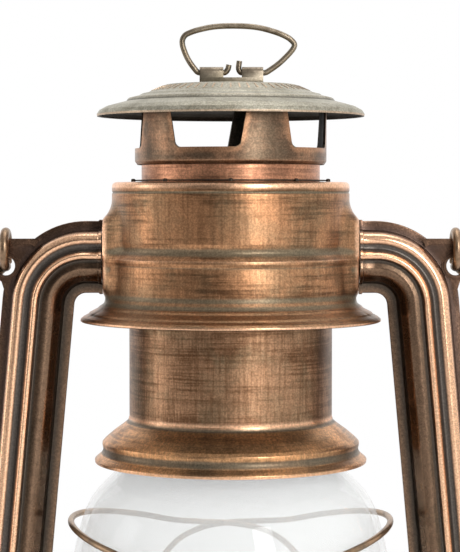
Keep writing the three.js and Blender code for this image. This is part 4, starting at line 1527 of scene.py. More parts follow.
def fluted_disc(radius: float, depth: float, count: int, steps: int = 6) -> list[Point]:
    """Outline of a disc with rounded flutes round its edge.

    Args:
        radius: Outer radius.
        depth: Depth of a flute.
        count: Number of flutes.
        steps: Points for each flute.

    Returns:
        The outline.
    """
    outline = []
    for i in range(count * steps):
        angle = 2 * math.pi * i / (count * steps)
        wave = abs(math.sin(angle * count / 2))
        reach = radius - depth * (1 - wave)
        outline.append((reach * math.cos(angle), reach * math.sin(angle)))
    return outline


@dataclass
class Tank:
    """Drawn fuel tank with its pressed-in base and seam roll."""

    radius: float = 58.0
    seam: float = 60.0
    seam_height: float = 6.6
    shoulder: float = 6.0
    foot_ring: float = 54.0
    burner_hole: float = 16.5
    filler: Point = (-31.818, -31.818)
    filler_hole: float = 7.8

    def build(self) -> list[Piece]:
        """Builds the shell and the base.

        Returns:
            The two pieces.
        """
        box = Box.of("tank_shell")
        foot, deck = box.foot, box.top
        skin = [
            (self.radius - 0.4, foot), (self.seam, foot, 1.5), (self.seam, self.seam_height, 1.5),
            (self.radius + 0.1, self.seam_height + 1.2, 0.6), (self.radius, foot + 8, 0.6),
            (self.radius - 0.5, foot + 8.8, 0.5), (self.radius - 0.5, deck - 10.4, 0.5),
            (self.radius, deck - 9.6, 0.5), (self.radius, deck, self.shoulder), (self.burner_hole, deck),
        ]
        x, y = self.filler
        shell = as_object(turned(pressed(skin, steps=6), 176), "fuel_tank")
        cut(shell, rod((x, y, deck - 6), (x, y, deck + 6), self.filler_hole, 64))
        dress(shell, Finish.TANK_BRONZE, "frame", "tank_shell")
        rim = Box.of("tank_base").radius
        under = [
            (0, foot), (self.foot_ring - 7, foot, 1.2), (self.foot_ring - 3, 0, 1.2),
            (self.foot_ring, 0, 1.2), (self.foot_ring + 2.5, 2.0, 0.8), (rim, 2.0),
        ]
        base = as_object(turned(pressed(under), 176), "tank_bottom")
        dress(base, Finish.TANK_BRONZE, "frame", "tank_base")
        return [shell, base]


@dataclass
class Filler:
    """Filler neck, its seal and the knurled screw cap."""

    ribs: int = 36
    rib: float = 0.45
    top: float = 1.2

    def build(self, tools: Toolbox) -> list[Piece]:
        """Builds the three pieces.

        Args:
            tools: The shared tools.

        Returns:
            The pieces.
        """
        neck, seal, cap = Box.of("filler_neck"), Box.of("filler_gasket"), Box.of("filler_cap")
        x, y, _ = neck.middle
        bore, wall, flange = seal.radius - SHEET, seal.radius, neck.radius
        thread = [(wall - 0.35 * (i % 2), neck.top - 0.4 - 0.5 * i) for i in range(7)]
        outline = [
            (bore, neck.foot), (wall, neck.foot), (wall, neck.foot + 1.1), (flange, neck.foot + 1.1, 0.3),
            (flange, neck.foot + 1.8, 0.3), (wall, neck.foot + 1.8, 0.2), *thread[::-1],
            (wall - 0.2, neck.top, 0.2), (bore, neck.top, 0.2),
        ]
        stub = as_object(turned(rounded(outline, 2), 72).moved(x, y, 0), "filling_neck")
        dress(stub, Finish.TANK_BRONZE, "frame", "filler_neck")
        disc = [(0, seal.foot), (seal.radius, seal.foot, 0.4), (seal.radius, seal.top, 0.4), (0, seal.top)]
        rubber = as_object(turned(rounded(disc), 72).moved(x, y, 0), "filler_seal_disc")
        dress(rubber, Finish.SEAL_RUBBER, "filler_seal", "filler_gasket")
        inside, edge = wall + 0.6, cap.radius - self.rib
        lid = [
            (0, seal.top + 0.3), (inside, seal.top + 0.3, 0.3), (inside, cap.foot, 0.2),
            (edge, cap.foot, 0.3), (edge, cap.top, 1.2), (4.6, cap.top, 0.5), (4.2, cap.top - 0.4, 0.4),
            (0, cap.top - 0.4),
        ]
        crown = as_object(turned(rounded(lid), 96), "filler_lid")
        rib = rod((0, 0, cap.foot + 0.5), (0, 0, cap.top - self.top), self.rib, 10)
        knurl = tools.ringed(rib, "filler_knurl", Finish.CANOPY_COPPER, self.ribs, edge, 0.0)
        piece = joined(crown, knurl)
        spots = (places(piece.data) + np.array([x, y, 0.0])) * MM
        piece.data.vertices.foreach_set("co", spots.ravel())
        dress(piece, Finish.CANOPY_COPPER, "screw_cap", "filler_cap")
        return [stub, rubber, piece]


@dataclass
class AirChamber:
    """Lower drum that the side tubes blow into, with the ring that holds the burner."""

    edge: float = 3.0
    throat: float = 24.5
    port_width: float = 5.3
    port_corner: float = 1.5
    seat_width: float = 3.1
    spindle_hole: float = 1.8
    port: Span = (45.87, 58.27)
    spindle: Point = (4.6, 54.0)

    def build(self) -> list[Piece]:
        """Builds the drum, the burner's ring and the two port collars.

        Returns:
            The pieces.
        """
        box, ring = Box.of("air_chamber"), Box.of("burner_collar")
        skin = [
            (ring.radius + 0.3, box.foot), (box.radius, box.foot, 1.0), (box.radius, box.top, self.edge),
            (self.throat + 3, box.top, 0.6), (self.throat + 2.2, box.top - 0.7, 0.5),
            (self.throat, box.top - 0.7),
        ]
        drum = as_object(turned(pressed(skin), 144), "air_drum")
        ports = tunnel(-box.radius - 5, box.radius + 5, self.port_width, *self.port, self.port_corner)
        x, z = self.spindle
        cut(drum, ports, rod((x, -box.radius - 5, z), (x, -self.throat, z), self.spindle_hole))
        dress(drum, Finish.TANK_BRONZE, "frame", "air_chamber")
        bore = ring.radius - self.seat_width
        outline = [
            (bore, ring.foot), (bore + SHEET, ring.foot), (bore + SHEET, box.foot),
            (ring.radius, box.foot, 0.3), (ring.radius, box.foot + SHEET, 0.3),
            (bore + SHEET, box.foot + SHEET, 0.3), (bore + SHEET, ring.top, 0.2), (bore, ring.top, 0.2),
        ]
        seat = as_object(turned(rounded(outline, 3), 96), "burner_seat")
        dress(seat, Finish.TANK_BRONZE, "frame", "burner_collar")
        made = [drum, seat]
        for side in ("left", "right"):
            node = f"air_chamber_collar_{side}"
            made.append(dress(refined(node, f"lower_port_{side}", 0.3), Finish.TANK_BRONZE, "frame", node))
        return made


@dataclass
class Burner:
    """Burner with its perforated base, dome, wick tube, winder and wick."""

    holes: int = 26
    hole: float = 0.95
    hole_rows: Point = (8.3, 16.4)
    cup: Point = (6.2, 15.2)
    step: float = 5.3
    spindle_hole: float = 1.5
    shaft: float = 1.1
    hub: float = 5.2
    slot: Point = (15.0, 4.4)
    spindle: Point = (4.6, 54.0)
    wheel: Point = (3.2, 1.2)
    wheel_spread: float = 3.0

    def build(self, tools: Toolbox) -> list[Piece]:
        """Builds the burner's standing parts, then its moving ones."""
        return self.housing(tools) + self.winder()

    def housing(self, tools: Toolbox) -> list[Piece]:
        """Builds the base, the dome and the wick's tube.

        Args:
            tools: The shared tools.

        Returns:
            The pieces.
        """
        base, cone = Box.of("burner_base"), Box.of("burner_cone")
        x, z = self.spindle
        (bore, body), step = self.cup, base.foot + self.step
        skin = [
            (bore, base.foot), (body, base.foot, 0.6), (body, step, 0.4), (base.radius, step, 0.6),
            (base.radius, base.top, 1.0), (bore, base.top),
        ]
        cup = as_object(turned(pressed(skin), 96), "burner_cup")
        cut(cup, rod((x, -base.radius - 4, z), (x, 0, z), self.spindle_hole))
        for height in [base.foot + row for row in self.hole_rows]:
            tools.holes.run(
                cup, count=self.holes, radius=base.radius * MM, height=height * MM, hole=self.hole * MM,
                depth=4 * MM, lean=math.pi / 2, material=Finish.BURNER_BRASS.material)
        dress(cup, Finish.BURNER_BRASS, "frame", "burner_base")
        r, low, rise = base.radius, cone.foot, cone.top - cone.foot
        dome_skin = [
            (r * 0.72, low), (r * 0.99, low, 0.5), (r * 0.985, low + rise * 0.12, 1.2),
            (r * 0.91, low + rise * 0.38, 6), (r * 0.69, cone.top - rise * 0.27, 5),
            (r * 0.44, cone.top - rise * 0.06, 3), (r * 0.22, cone.top, 2), (0, cone.top),
        ]
        dome = as_object(turned(pressed(dome_skin), 96), "burner_dome")
        length, width = self.slot
        low_corner = (-width / 2, -length / 2, cone.top - rise / 3)
        cut(dome, block(low_corner, (width / 2, length / 2, cone.top + 1)))
        dress(dome, Finish.BURNER_BRASS, "frame", "burner_cone")
        tube = refined("wick_tube", "wick_sleeve", 0.15)
        dress(tube, Finish.BURNER_BRASS, "frame", "wick_tube")
        return [cup, dome, tube]

    def winder(self) -> list[Piece]:
        """Builds the wick, its toothed spindle and the knob.

        Returns:
            The pieces.
        """
        shaft, knob, wick = Box.of("wick_spindle"), Box.of("wick_knob"), Box.of("wick")
        x, z = self.spindle
        radius, thick = self.wheel
        bar = rod((x, shaft.low[1], z), (x, shaft.high[1], z), self.shaft, 28)
        for y in (-self.wheel_spread, self.wheel_spread):
            teeth = plate(fluted_disc(radius, 0.6, 14), y - thick / 2, y + thick / 2).moved(x, 0, z)
            bar = bar + teeth
        spindle = bevelled(as_object(bar, "winder_spindle"), 0.12)
        dress(spindle, Finish.BURNER_BRASS, "wick_winder", "wick_spindle")
        grip = plate(fluted_disc(knob.high[0] - x, 0.7, 24), knob.low[1] + 1.0, knob.high[1] - 1.0)
        hub = rod((x, knob.low[1], z), (x, knob.high[1], z), self.hub, 48)
        handle = bevelled(as_object(grip.moved(x, 0, z), "winder_knob"), 0.5, 3)
        joined(handle, bevelled(as_object(hub, "winder_hub"), 0.6, 3))
        dress(handle, Finish.CANOPY_COPPER, "wick_winder", "wick_knob")
        strip = bevelled(as_object(block(wick.low, wick.high), "woven_wick"), 0.5, 3)
        dress(strip, Finish.WICK_COTTON, "wick_slide", "wick")
        return [spindle, handle, strip]


@dataclass
class GlobeCradle:
    """Plate with its lip, the glass, and the two crossing guard wires."""

    wall: float = 1.9
    shares: tuple[float, ...] = (0, 0.06, 0.25, 0.5, 0.67, 0.8, 0.885, 0.94, 1)
    radii: tuple[float, ...] = (32.2, 33.2, 41.7, 46.3, 44.7, 40.3, 32.8, 28.2, 27.4)
    plate_hole: float = 19.5
    hole_rows: tuple[tuple[float, float, int], ...] = ((28.6, 1.5, 30), (23.4, 1.1, 30))
    lip: Spot = (32.9, 33.6, 3.2)
    wire: float = 0.9
    guard_high: float = 137.7
    guard_dip: float = 9.4
    guard_gaps: Point = (3.1, 1.5)
    crossing: float = 1.7

    def skin(self) -> np.ndarray:
        """Outer line of the glass, from its foot to its mouth.

        Returns:
            A radius and a height for each point.
        """
        glass = Box.of("globe")
        height = glass.top - glass.foot
        return curve_through([(r, glass.foot + height * s) for r, s in zip(self.radii, self.shares)], 9)

    def build(self, tools: Toolbox) -> list[Piece]:
        """Builds the plate, the glass and the wires.

        Args:
            tools: The shared tools.

        Returns:
            The pieces.
        """
        box = Box.of("globe_plate")
        thick = box.foot + 0.8
        inner, outer, rise = self.lip
        outline = [
            (self.plate_hole, box.foot), (box.radius, box.foot, 0.35), (box.radius, thick, 0.35),
            (outer, thick, 0.2), (outer, thick + rise, 0.3), (inner, thick + rise, 0.3),
            (inner, thick, 0.1), (self.plate_hole, thick),
        ]
        seat = as_object(turned(rounded(outline, 3), 144), "cradle_plate")
        for radius, hole, count in self.hole_rows:
            tools.holes.run(
                seat, count=count, radius=radius * MM, height=(box.foot + 0.4) * MM, hole=hole * MM,
                depth=4 * MM, lean=0.0, material=Finish.BURNER_BRASS.material)
        dress(seat, Finish.TANK_BRONZE, "globe_cradle", "globe_plate")
        glass = as_object(turned(pressed([tuple(p) for p in self.skin()], self.wall), 176), "lamp_glass")
        dress(glass, Finish.CLEAR_GLASS, "globe_cradle", "globe", smooth=60)
        made = [seat, glass]
        for side, outward_step, mirror in (("left", 0.0, 1), ("right", self.crossing, -1)):
            points = self.guard(outward_step) * np.array([mirror, 1, 1])
            wire = tools.drawn(curve_through(points, 8), self.wire, f"guard_{side}", Finish.GUARD_BRONZE)
            made.append(dress(wire, Finish.GUARD_BRONZE, "globe_cradle", f"guard_wire_{side}"))
        return made

    def guard(self, outward_step: float) -> np.ndarray:
        """Middle line of the left guard wire.

        Args:
            outward_step: How far it steps out where it crosses the other one.

        Returns:
            Points from one foot to the other.
        """
        skin = self.skin()
        plate_box = Box.of("globe_plate")
        foot = plate_box.foot + 1.1
        cross = self.guard_high - self.guard_dip
        high, stand = self.guard_gaps[0], self.wire + self.guard_gaps[1]
        levels = [
            (0, self.guard_high, high), (18, self.guard_high - self.guard_dip * 0.06, high),
            (36, self.guard_high - self.guard_dip * 0.24, high),
            (54, self.guard_high - self.guard_dip * 0.53, stand),
            (68, cross + self.guard_dip * 0.18, stand), (80, cross + self.guard_dip * 0.06, stand),
            (90, cross, stand),
        ]
        shares = [
            (100, 0.022), (109, 0.073), (117, 0.175), (125, 0.318), (133, 0.477), (141, 0.668), (147, 0.857)
        ]
        levels += [(turn, cross - (cross - foot) * share, stand) for turn, share in shares]
        side = []
        for turn, height, off in levels:
            near = min(abs(turn - 90) / 25, 1.0)
            bump = outward_step * max(0.0, math.cos(math.pi * near / 2))
            side.append((turn, height, float(np.interp(height, skin[:, 1], skin[:, 0])) + off + bump))
        end = plate_box.radius - self.wire - 0.3
        side += [(150, foot + 3.2, end), (150, foot, end)]
        whole = [(-turn, height, reach) for turn, height, reach in side[:0:-1]] + side
        return np.array([
            (-reach * math.cos(math.radians(turn)), reach * math.sin(math.radians(turn)), height)
            for turn, height, reach in whole
        ])


@dataclass
class Chimney:
    """Cap plate, flue, neck, window band and hood, which the finger ring lifts."""

    windows: int = 5
    first_pier: float = 21.9
    pier_foot: float = 33.0
    pier_top: float = 23.8
    window_lift: float = 4.7
    window_drop: float = 1.4
    shelf: Spot = (24.5, 31.4, 0.7)
    glass_gap: float = 0.3
    ribs: int = 56
    rib_ring: Point = (17.0, 7.82)
    rib_slope: Point = (5.1, 2.2)
    sleeve: float = 1.7
    sleeve_bore: float = 1.15
    sleeve_gap: Span = (-2.1, 3.2)

    def build(self, tools: Toolbox) -> list[Piece]:
        """Builds the chimney from the glass upwards."""
        return [self.cap_plate(), self.flue(), self.neck(), self.band(), self.hood(tools), self.bracket()]

    def cap_plate(self) -> Piece:
        """Builds the stepped plate that sits on the glass.

        Returns:
            The plate.
        """
        box = Box.of("globe_cap_plate")
        foot, rim = box.foot, box.radius
        skin = [
            (rim + 0.1, foot + 0.1), (rim + 0.2, foot + 0.9, 0.3), (rim - 0.5, foot + 1.5, 0.3),
            (rim - 1.6, foot + 2.4, 0.7), (rim - 2.3, foot + 3.6, 1.6),
            (rim - 2.0, foot + 5.2, 0.4), (rim - 2.0, foot + 5.8, 0.45), (rim - 2.8, foot + 6.7, 1.0),
            (rim - 5.4, foot + 8.9, 6), (31.2, foot + 10.6, 3), (29.6, foot + 11.9, 1.2), (29.3, foot + 12.9),
        ]
        inner, outer, thick = self.shelf
        seat = Box.of("globe").top + self.glass_gap
        shelf = [(inner, seat), (outer, seat, 0.2), (outer, seat + thick, 0.2), (inner, seat + thick, 0.2)]
        body = turned(pressed(skin, steps=5), 160, 0.7) + turned(rounded(shelf, 2), 120)
        piece = as_object(body, "glass_cap")
        return dress(piece, Finish.PLATE_COPPER, "chimney", "globe_cap_plate", inside=Finish.SOOT_AND_PAINTED_SHADE)

    def flue(self) -> Piece:
        """Builds the cylinder between the cap plate and the canopy.

        Returns:
            The cylinder.
        """
        box = Box.of("flue_cylinder")
        skin = [(box.radius, box.foot), (box.radius, box.top, 1.4), (25.9, box.top)]
        piece = as_object(turned(pressed(skin), 144, 1.0), "flue")
        return dress(piece, Finish.FLUE_COPPER, "chimney", "flue_cylinder", inside=Finish.SOOT_AND_PAINTED_SHADE)

    def neck(self) -> Piece:
        """Builds the tube that slides through the canopy.

        Returns:
            The tube.
        """
        box = Box.of("neck_tube")
        inner = box.radius - SHEET
        outline = [(inner, box.foot), (box.radius, box.foot), (box.radius, box.top), (inner, box.top)]
        piece = as_object(turned(outline, 144, 1.0), "neck")
        return dress(piece, Finish.NECK_COPPER, "chimney", "neck_tube", inside=Finish.SOOT_AND_PAINTED_SHADE)

    def band(self) -> Piece:
        """Builds the band with its windows between the piers.

        Returns:
            The band.
        """
        box = Box.of("window_band")
        edge = box.radius
        skin = [(25.9, box.foot), (edge - 0.7, box.foot, 0.3), (edge, box.foot + 1.0, 0.7), (edge, box.top)]
        ring = as_object(turned(pressed(skin), 180, 1.0), "vent_band")
        pitch = 360 / self.windows
        foot_half = edge * math.sin(math.radians((pitch - self.pier_foot) / 2))
        head_half = edge * math.sin(math.radians((pitch - self.pier_top) / 2))
        low, high = box.foot + self.window_lift, box.top - self.window_drop
        corners = [
            (0, low), (foot_half, low, 1.8), (head_half, high, 0.3), (-head_half, high, 0.3),
            (-foot_half, low, 1.8), (0, low),
        ]
        outline = rounded(corners, 5)[:-1]
        opening = plate(outline, -edge - 6, -edge / 2)
        turns = [self.first_pier + pitch * (i + 0.5) for i in range(self.windows)]
        cut(ring, *[opening.spun(turn) for turn in turns])
        return dress(ring, Finish.BAND_OLIVE, "chimney", "window_band", inside=Finish.SOOT_AND_PAINTED_SHADE)

    def hood(self, tools: Toolbox) -> Piece:
        """Builds the stepped hood, with a ring of plain ribs on its slope.

        Args:
            tools: The shared tools.

        Returns:
            The hood.
        """
        box = Box.of("hood")
        rim, foot, top = box.radius, box.foot, box.top
        skin = [
            (rim, foot - 0.1), (rim + 0.1, foot + 0.5, 0.3), (rim - 0.6, foot + 1.6, 0.8),
            (rim - 2.6, foot + 2.7, 2.4), (rim - 5.0, foot + 3.35, 2.0),
            (rim - 8.3, foot + 4.2, 0.7), (rim - 9.0, foot + 5.1, 0.6), (rim - 11.9, foot + 5.8, 0.8),
            (rim - 12.7, foot + 6.3, 0.4), (rim - 14.4, foot + 6.7, 0.5), (rim - 19.5, foot + 8.9, 1.5),
            (10.0, foot + 9.25, 3), (0, top),
        ]
        lid = as_object(turned(pressed(skin, steps=5), 160), "hood_lid")
        lean = math.atan2(self.rib_slope[1], self.rib_slope[0])
        rib = [(-1.7, -0.25), (1.7, -0.25), (1.7, 0.14, 0.15), (-1.7, 0.14, 0.15), (-1.7, -0.25)]
        bar = plate(rounded(rib, 3)[:-1], -0.22, 0.22)
        turn = np.array(
            [[math.cos(lean), 0, -math.sin(lean)], [0, 1, 0], [math.sin(lean), 0, math.cos(lean)]]
        )
        tipped = Shape(bar.points @ turn, bar.faces, bar.flow)
        inset, height = self.rib_ring
        ribs = tools.ringed(
            tipped, "hood_ribs", Finish.HOOD_OLIVE, self.ribs, rim - inset, foot + height
        )
        return dress(joined(lid, ribs), Finish.HOOD_OLIVE, "chimney", "hood", inside=Finish.SOOT_AND_PAINTED_SHADE)

    def bracket(self) -> Piece:
        """Builds the strap whose two tabs are rolled over the finger ring.

        Returns:
            The strap.
        """
        box = Box.of("ring_bracket")
        radius = self.sleeve
        pivot = box.top - radius
        strap = as_object(block(box.low, (box.high[0], box.high[1], box.foot + 1.2)), "ring_strap")
        for start, end in ((box.low[0], self.sleeve_gap[0]), (self.sleeve_gap[1], box.high[0])):
            fused(strap, rod((start, 0, pivot), (end, 0, pivot), radius, 40))
            fused(strap, block((start, -radius, box.foot + 0.2), (end, radius, pivot)))
        cut(strap, rod((box.low[0] - 2, 0, pivot), (box.high[0] + 2, 0, pivot), self.sleeve_bore, 40))
        bevelled(strap, 0.3, 3)
        return dress(strap, Finish.RING_OLIVE, "chimney", "ring_bracket")


@dataclass
class FingerRing:
    """Wire ring that lifts the chimney."""

    wire: float = 0.82
    height: float = 13.4
    pivot: float = 266.3
    shift: float = 1.8
    left: Point = (-8.9, -2.1)
    right: Point = (3.2, 9.3)

    def build(self, tools: Toolbox) -> Piece:
        """Draws the ring through its bracket's sleeves.

        Args:
            tools: The shared tools.

        Returns:
            The ring.
        """
        (left_end, left_gap), (right_gap, right_end) = self.left, self.right
        pivot, top = self.pivot, self.pivot + self.height
        middle = (left_end + right_end) / 2 + self.shift
        crown = [
            (-15.9, -4.6), (-15.2, -2.8), (-13.4, -1.8), (-10.8, -1.0), (-6.5, -0.2), (0, 0),
            (5.5, -0.4), (9.7, -1.4), (13.0, -2.6), (15.2, -3.9), (16.3, -5.5),
        ]
        points = [
            (left_gap + 1.6, pivot + 2.3), (left_gap + 1.3, pivot + 1.1), (left_gap + 0.6, pivot + 0.2),
            (left_gap - 0.6, pivot), (left_end + 1, pivot), (left_end - 0.5, pivot + 0.2),
            (left_end - 1.4, pivot + 1.1), (left_end - 3.6, pivot + 4.4),
            *[(middle + x, top + drop) for x, drop in crown],
            (right_end + 5.6, pivot + 3.6), (right_end + 1.8, pivot + 0.7), (right_end + 0.7, pivot + 0.1),
            (right_end - 1, pivot), (right_gap + 0.6, pivot), (right_gap - 0.4, pivot + 0.2),
            (right_gap - 0.9, pivot + 1.1), (right_gap - 0.7, pivot + 3.4),
        ]
        line = curve_through([(x, 0.0, z) for x, z in points], 6)
        wire = tools.drawn(line, self.wire, "finger_ring_wire", Finish.RING_OLIVE)
        return dress(wire, Finish.RING_OLIVE, "finger_ring", "lift_ring")


@dataclass
class Canopy:
    """Upper air chamber with its groove, bead and flared skirt, and the spring inside."""

    mouth: float = 26.1
    port_width: float = 5.3
    port_corner: float = 1.5
    port: Span = (207.3, 219.7)
    face: float = 36.3
    corner: float = 3.0
    blend: float = 5.5
    dimples: tuple[Point, ...] = ((11.9, 210.2), (12.2, 197.6))
    dimple: Point = (0.45, 0.7)
    guide_rim: float = 27.6
    nubs: int = 9
    nub_ring: float = 28.2
    coil: float = 27.9
    coil_wire: float = 0.6
    turns: int = 4
    spring: Span = (208.9, 233.4)

    def build(self, tools: Toolbox) -> list[Piece]:
        """Builds the canopy, its port collars, the guide ring and the spring."""
        return [self.shell(), self.guide(tools), self.wound_spring(tools)]

    def shell(self) -> Piece:
        """Builds the pressed shell, whose wall is drawn out to the two ports.

        Returns:
            The shell.
        """
        box = Box.of("canopy")
        rim, foot, top = box.radius, box.foot, box.top
        corners = [
            (rim - 0.5, foot), (rim, foot + 0.1, 0.3), (rim, foot + 0.7, 0.3), (rim - 0.8, foot + 1.4, 0.3),
            (rim - 2.2, foot + 2.1, 0.5), (rim - 2.6, foot + 2.6, 0.4), (rim - 4.9, foot + 3.8, 0.6),
            (rim - 5.4, foot + 4.4, 0.5), (rim - 6.7, foot + 5.2, 1.6), (35.5, foot + 7.4, 1.8),
            (35.45, foot + 9.6, 0.8), (35.2, foot + 14.6, 0.8), (35.1, foot + 16.3, 0.6),
            (35.55, foot + 17.3, 0.5), (35.5, foot + 18.1, 0.5), (34.9, foot + 18.8, 0.4),
            (33.5, foot + 20.4, 1.3), (33.95, foot + 22.2, 0.7), (34.1, foot + 22.8, 0.5),
            (34.1, top - 3.4, 0.4), (33.85, top - 3.0, 0.3), (34.1, top - 2.5, 0.4), (34.1, top, 1.9),
            (self.mouth, top),
        ]
        shape = turned(pressed(corners, steps=4), 360, 0.75)
        spots = shape.points
        skin = np.array(rounded(corners, 4))
        radius = np.interp(spots[:, 2], skin[:, 1], skin[:, 0])
        y, z = spots[:, 1], spots[:, 2]
        surface = np.sqrt(np.maximum(radius ** 2 - y ** 2, 1.0))
        collar = Box.of("canopy_collar_right")
        half, middle = (collar.high[2] - collar.low[2]) / 2, collar.middle[2]
        across, up = np.abs(y) - (half - self.corner), np.abs(z - middle) - (half - self.corner)
        outside = np.hypot(np.maximum(across, 0), np.maximum(up, 0))
        off = outside + np.minimum(np.maximum(across, up), 0) - self.corner
        share = np.clip(1 - np.maximum(off, 0) / self.blend, 0, 1) ** 2
        push = (self.face - surface) * share
        depth, width = self.dimple
        for low, high in self.dimples:
            push -= depth * np.exp(-((np.abs(y) - low) ** 2 + (z - high) ** 2) / width)
        lateral = np.abs(spots[:, 0]) > 20
        spots[:, 0] += np.where(lateral, np.sign(spots[:, 0]) * push, 0.0)
        shell = as_object(shape, "canopy_shell")
        cut(shell, tunnel(-rim - 5, rim + 5, self.port_width, *self.port, self.port_corner))
        nodes = ("canopy", "canopy_collar_left", "canopy_collar_right")
        return dress(shell, Finish.CANOPY_COPPER, "frame", *nodes, inside=Finish.SOOT_AND_PAINTED_SHADE)

    def guide(self, tools: Toolbox) -> Piece:
        """Builds the ring with crimp nubs round the neck.

        Args:
            tools: The shared tools.

        Returns:
            The ring.
        """
        box = Box.of("chimney_guide")
        rim, low, high = self.guide_rim, box.foot, box.foot + 0.35
        outline = [(self.mouth, low), (rim, low), (rim, high, 0.15), (self.mouth, high, 0.15)]
        ring = as_object(turned(rounded(outline, 3), 120), "neck_guide")
        nub = turned(rounded([(0, -0.5), (0.65, -0.5, 0.1), (0.6, 0.4, 0.3), (0, 0.45)], 3), 14)
        # The ring and its nubs are near black: painted shade for the dark line where the neck meets the
        # canopy.
        nubs = tools.ringed(
            nub, "guide_nubs", Finish.SOOT_AND_PAINTED_SHADE, self.nubs, self.nub_ring, box.foot + 0.2, -90
        )
        return dress(joined(ring, nubs), Finish.SOOT_AND_PAINTED_SHADE, "frame", "chimney_guide")

    def wound_spring(self, tools: Toolbox) -> Piece:
        """Winds the hidden spring, which the rising chimney presses together.

        Args:
            tools: The shared tools.

        Returns:
            The spring.
        """
        foot, top = self.spring
        steps = self.turns * 48
        share = np.arange(steps + 1) / steps
        angle = 2 * math.pi * self.turns * share
        line = np.stack(
            [self.coil * np.cos(angle), self.coil * np.sin(angle), foot + (top - foot) * share], axis=1
        )
        coil = tools.drawn(line, self.coil_wire, "coil_spring", Finish.GUARD_BRONZE, 10)
        dress(coil, Finish.GUARD_BRONZE, "frame", "chimney_spring")
        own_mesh(coil)
        return coil


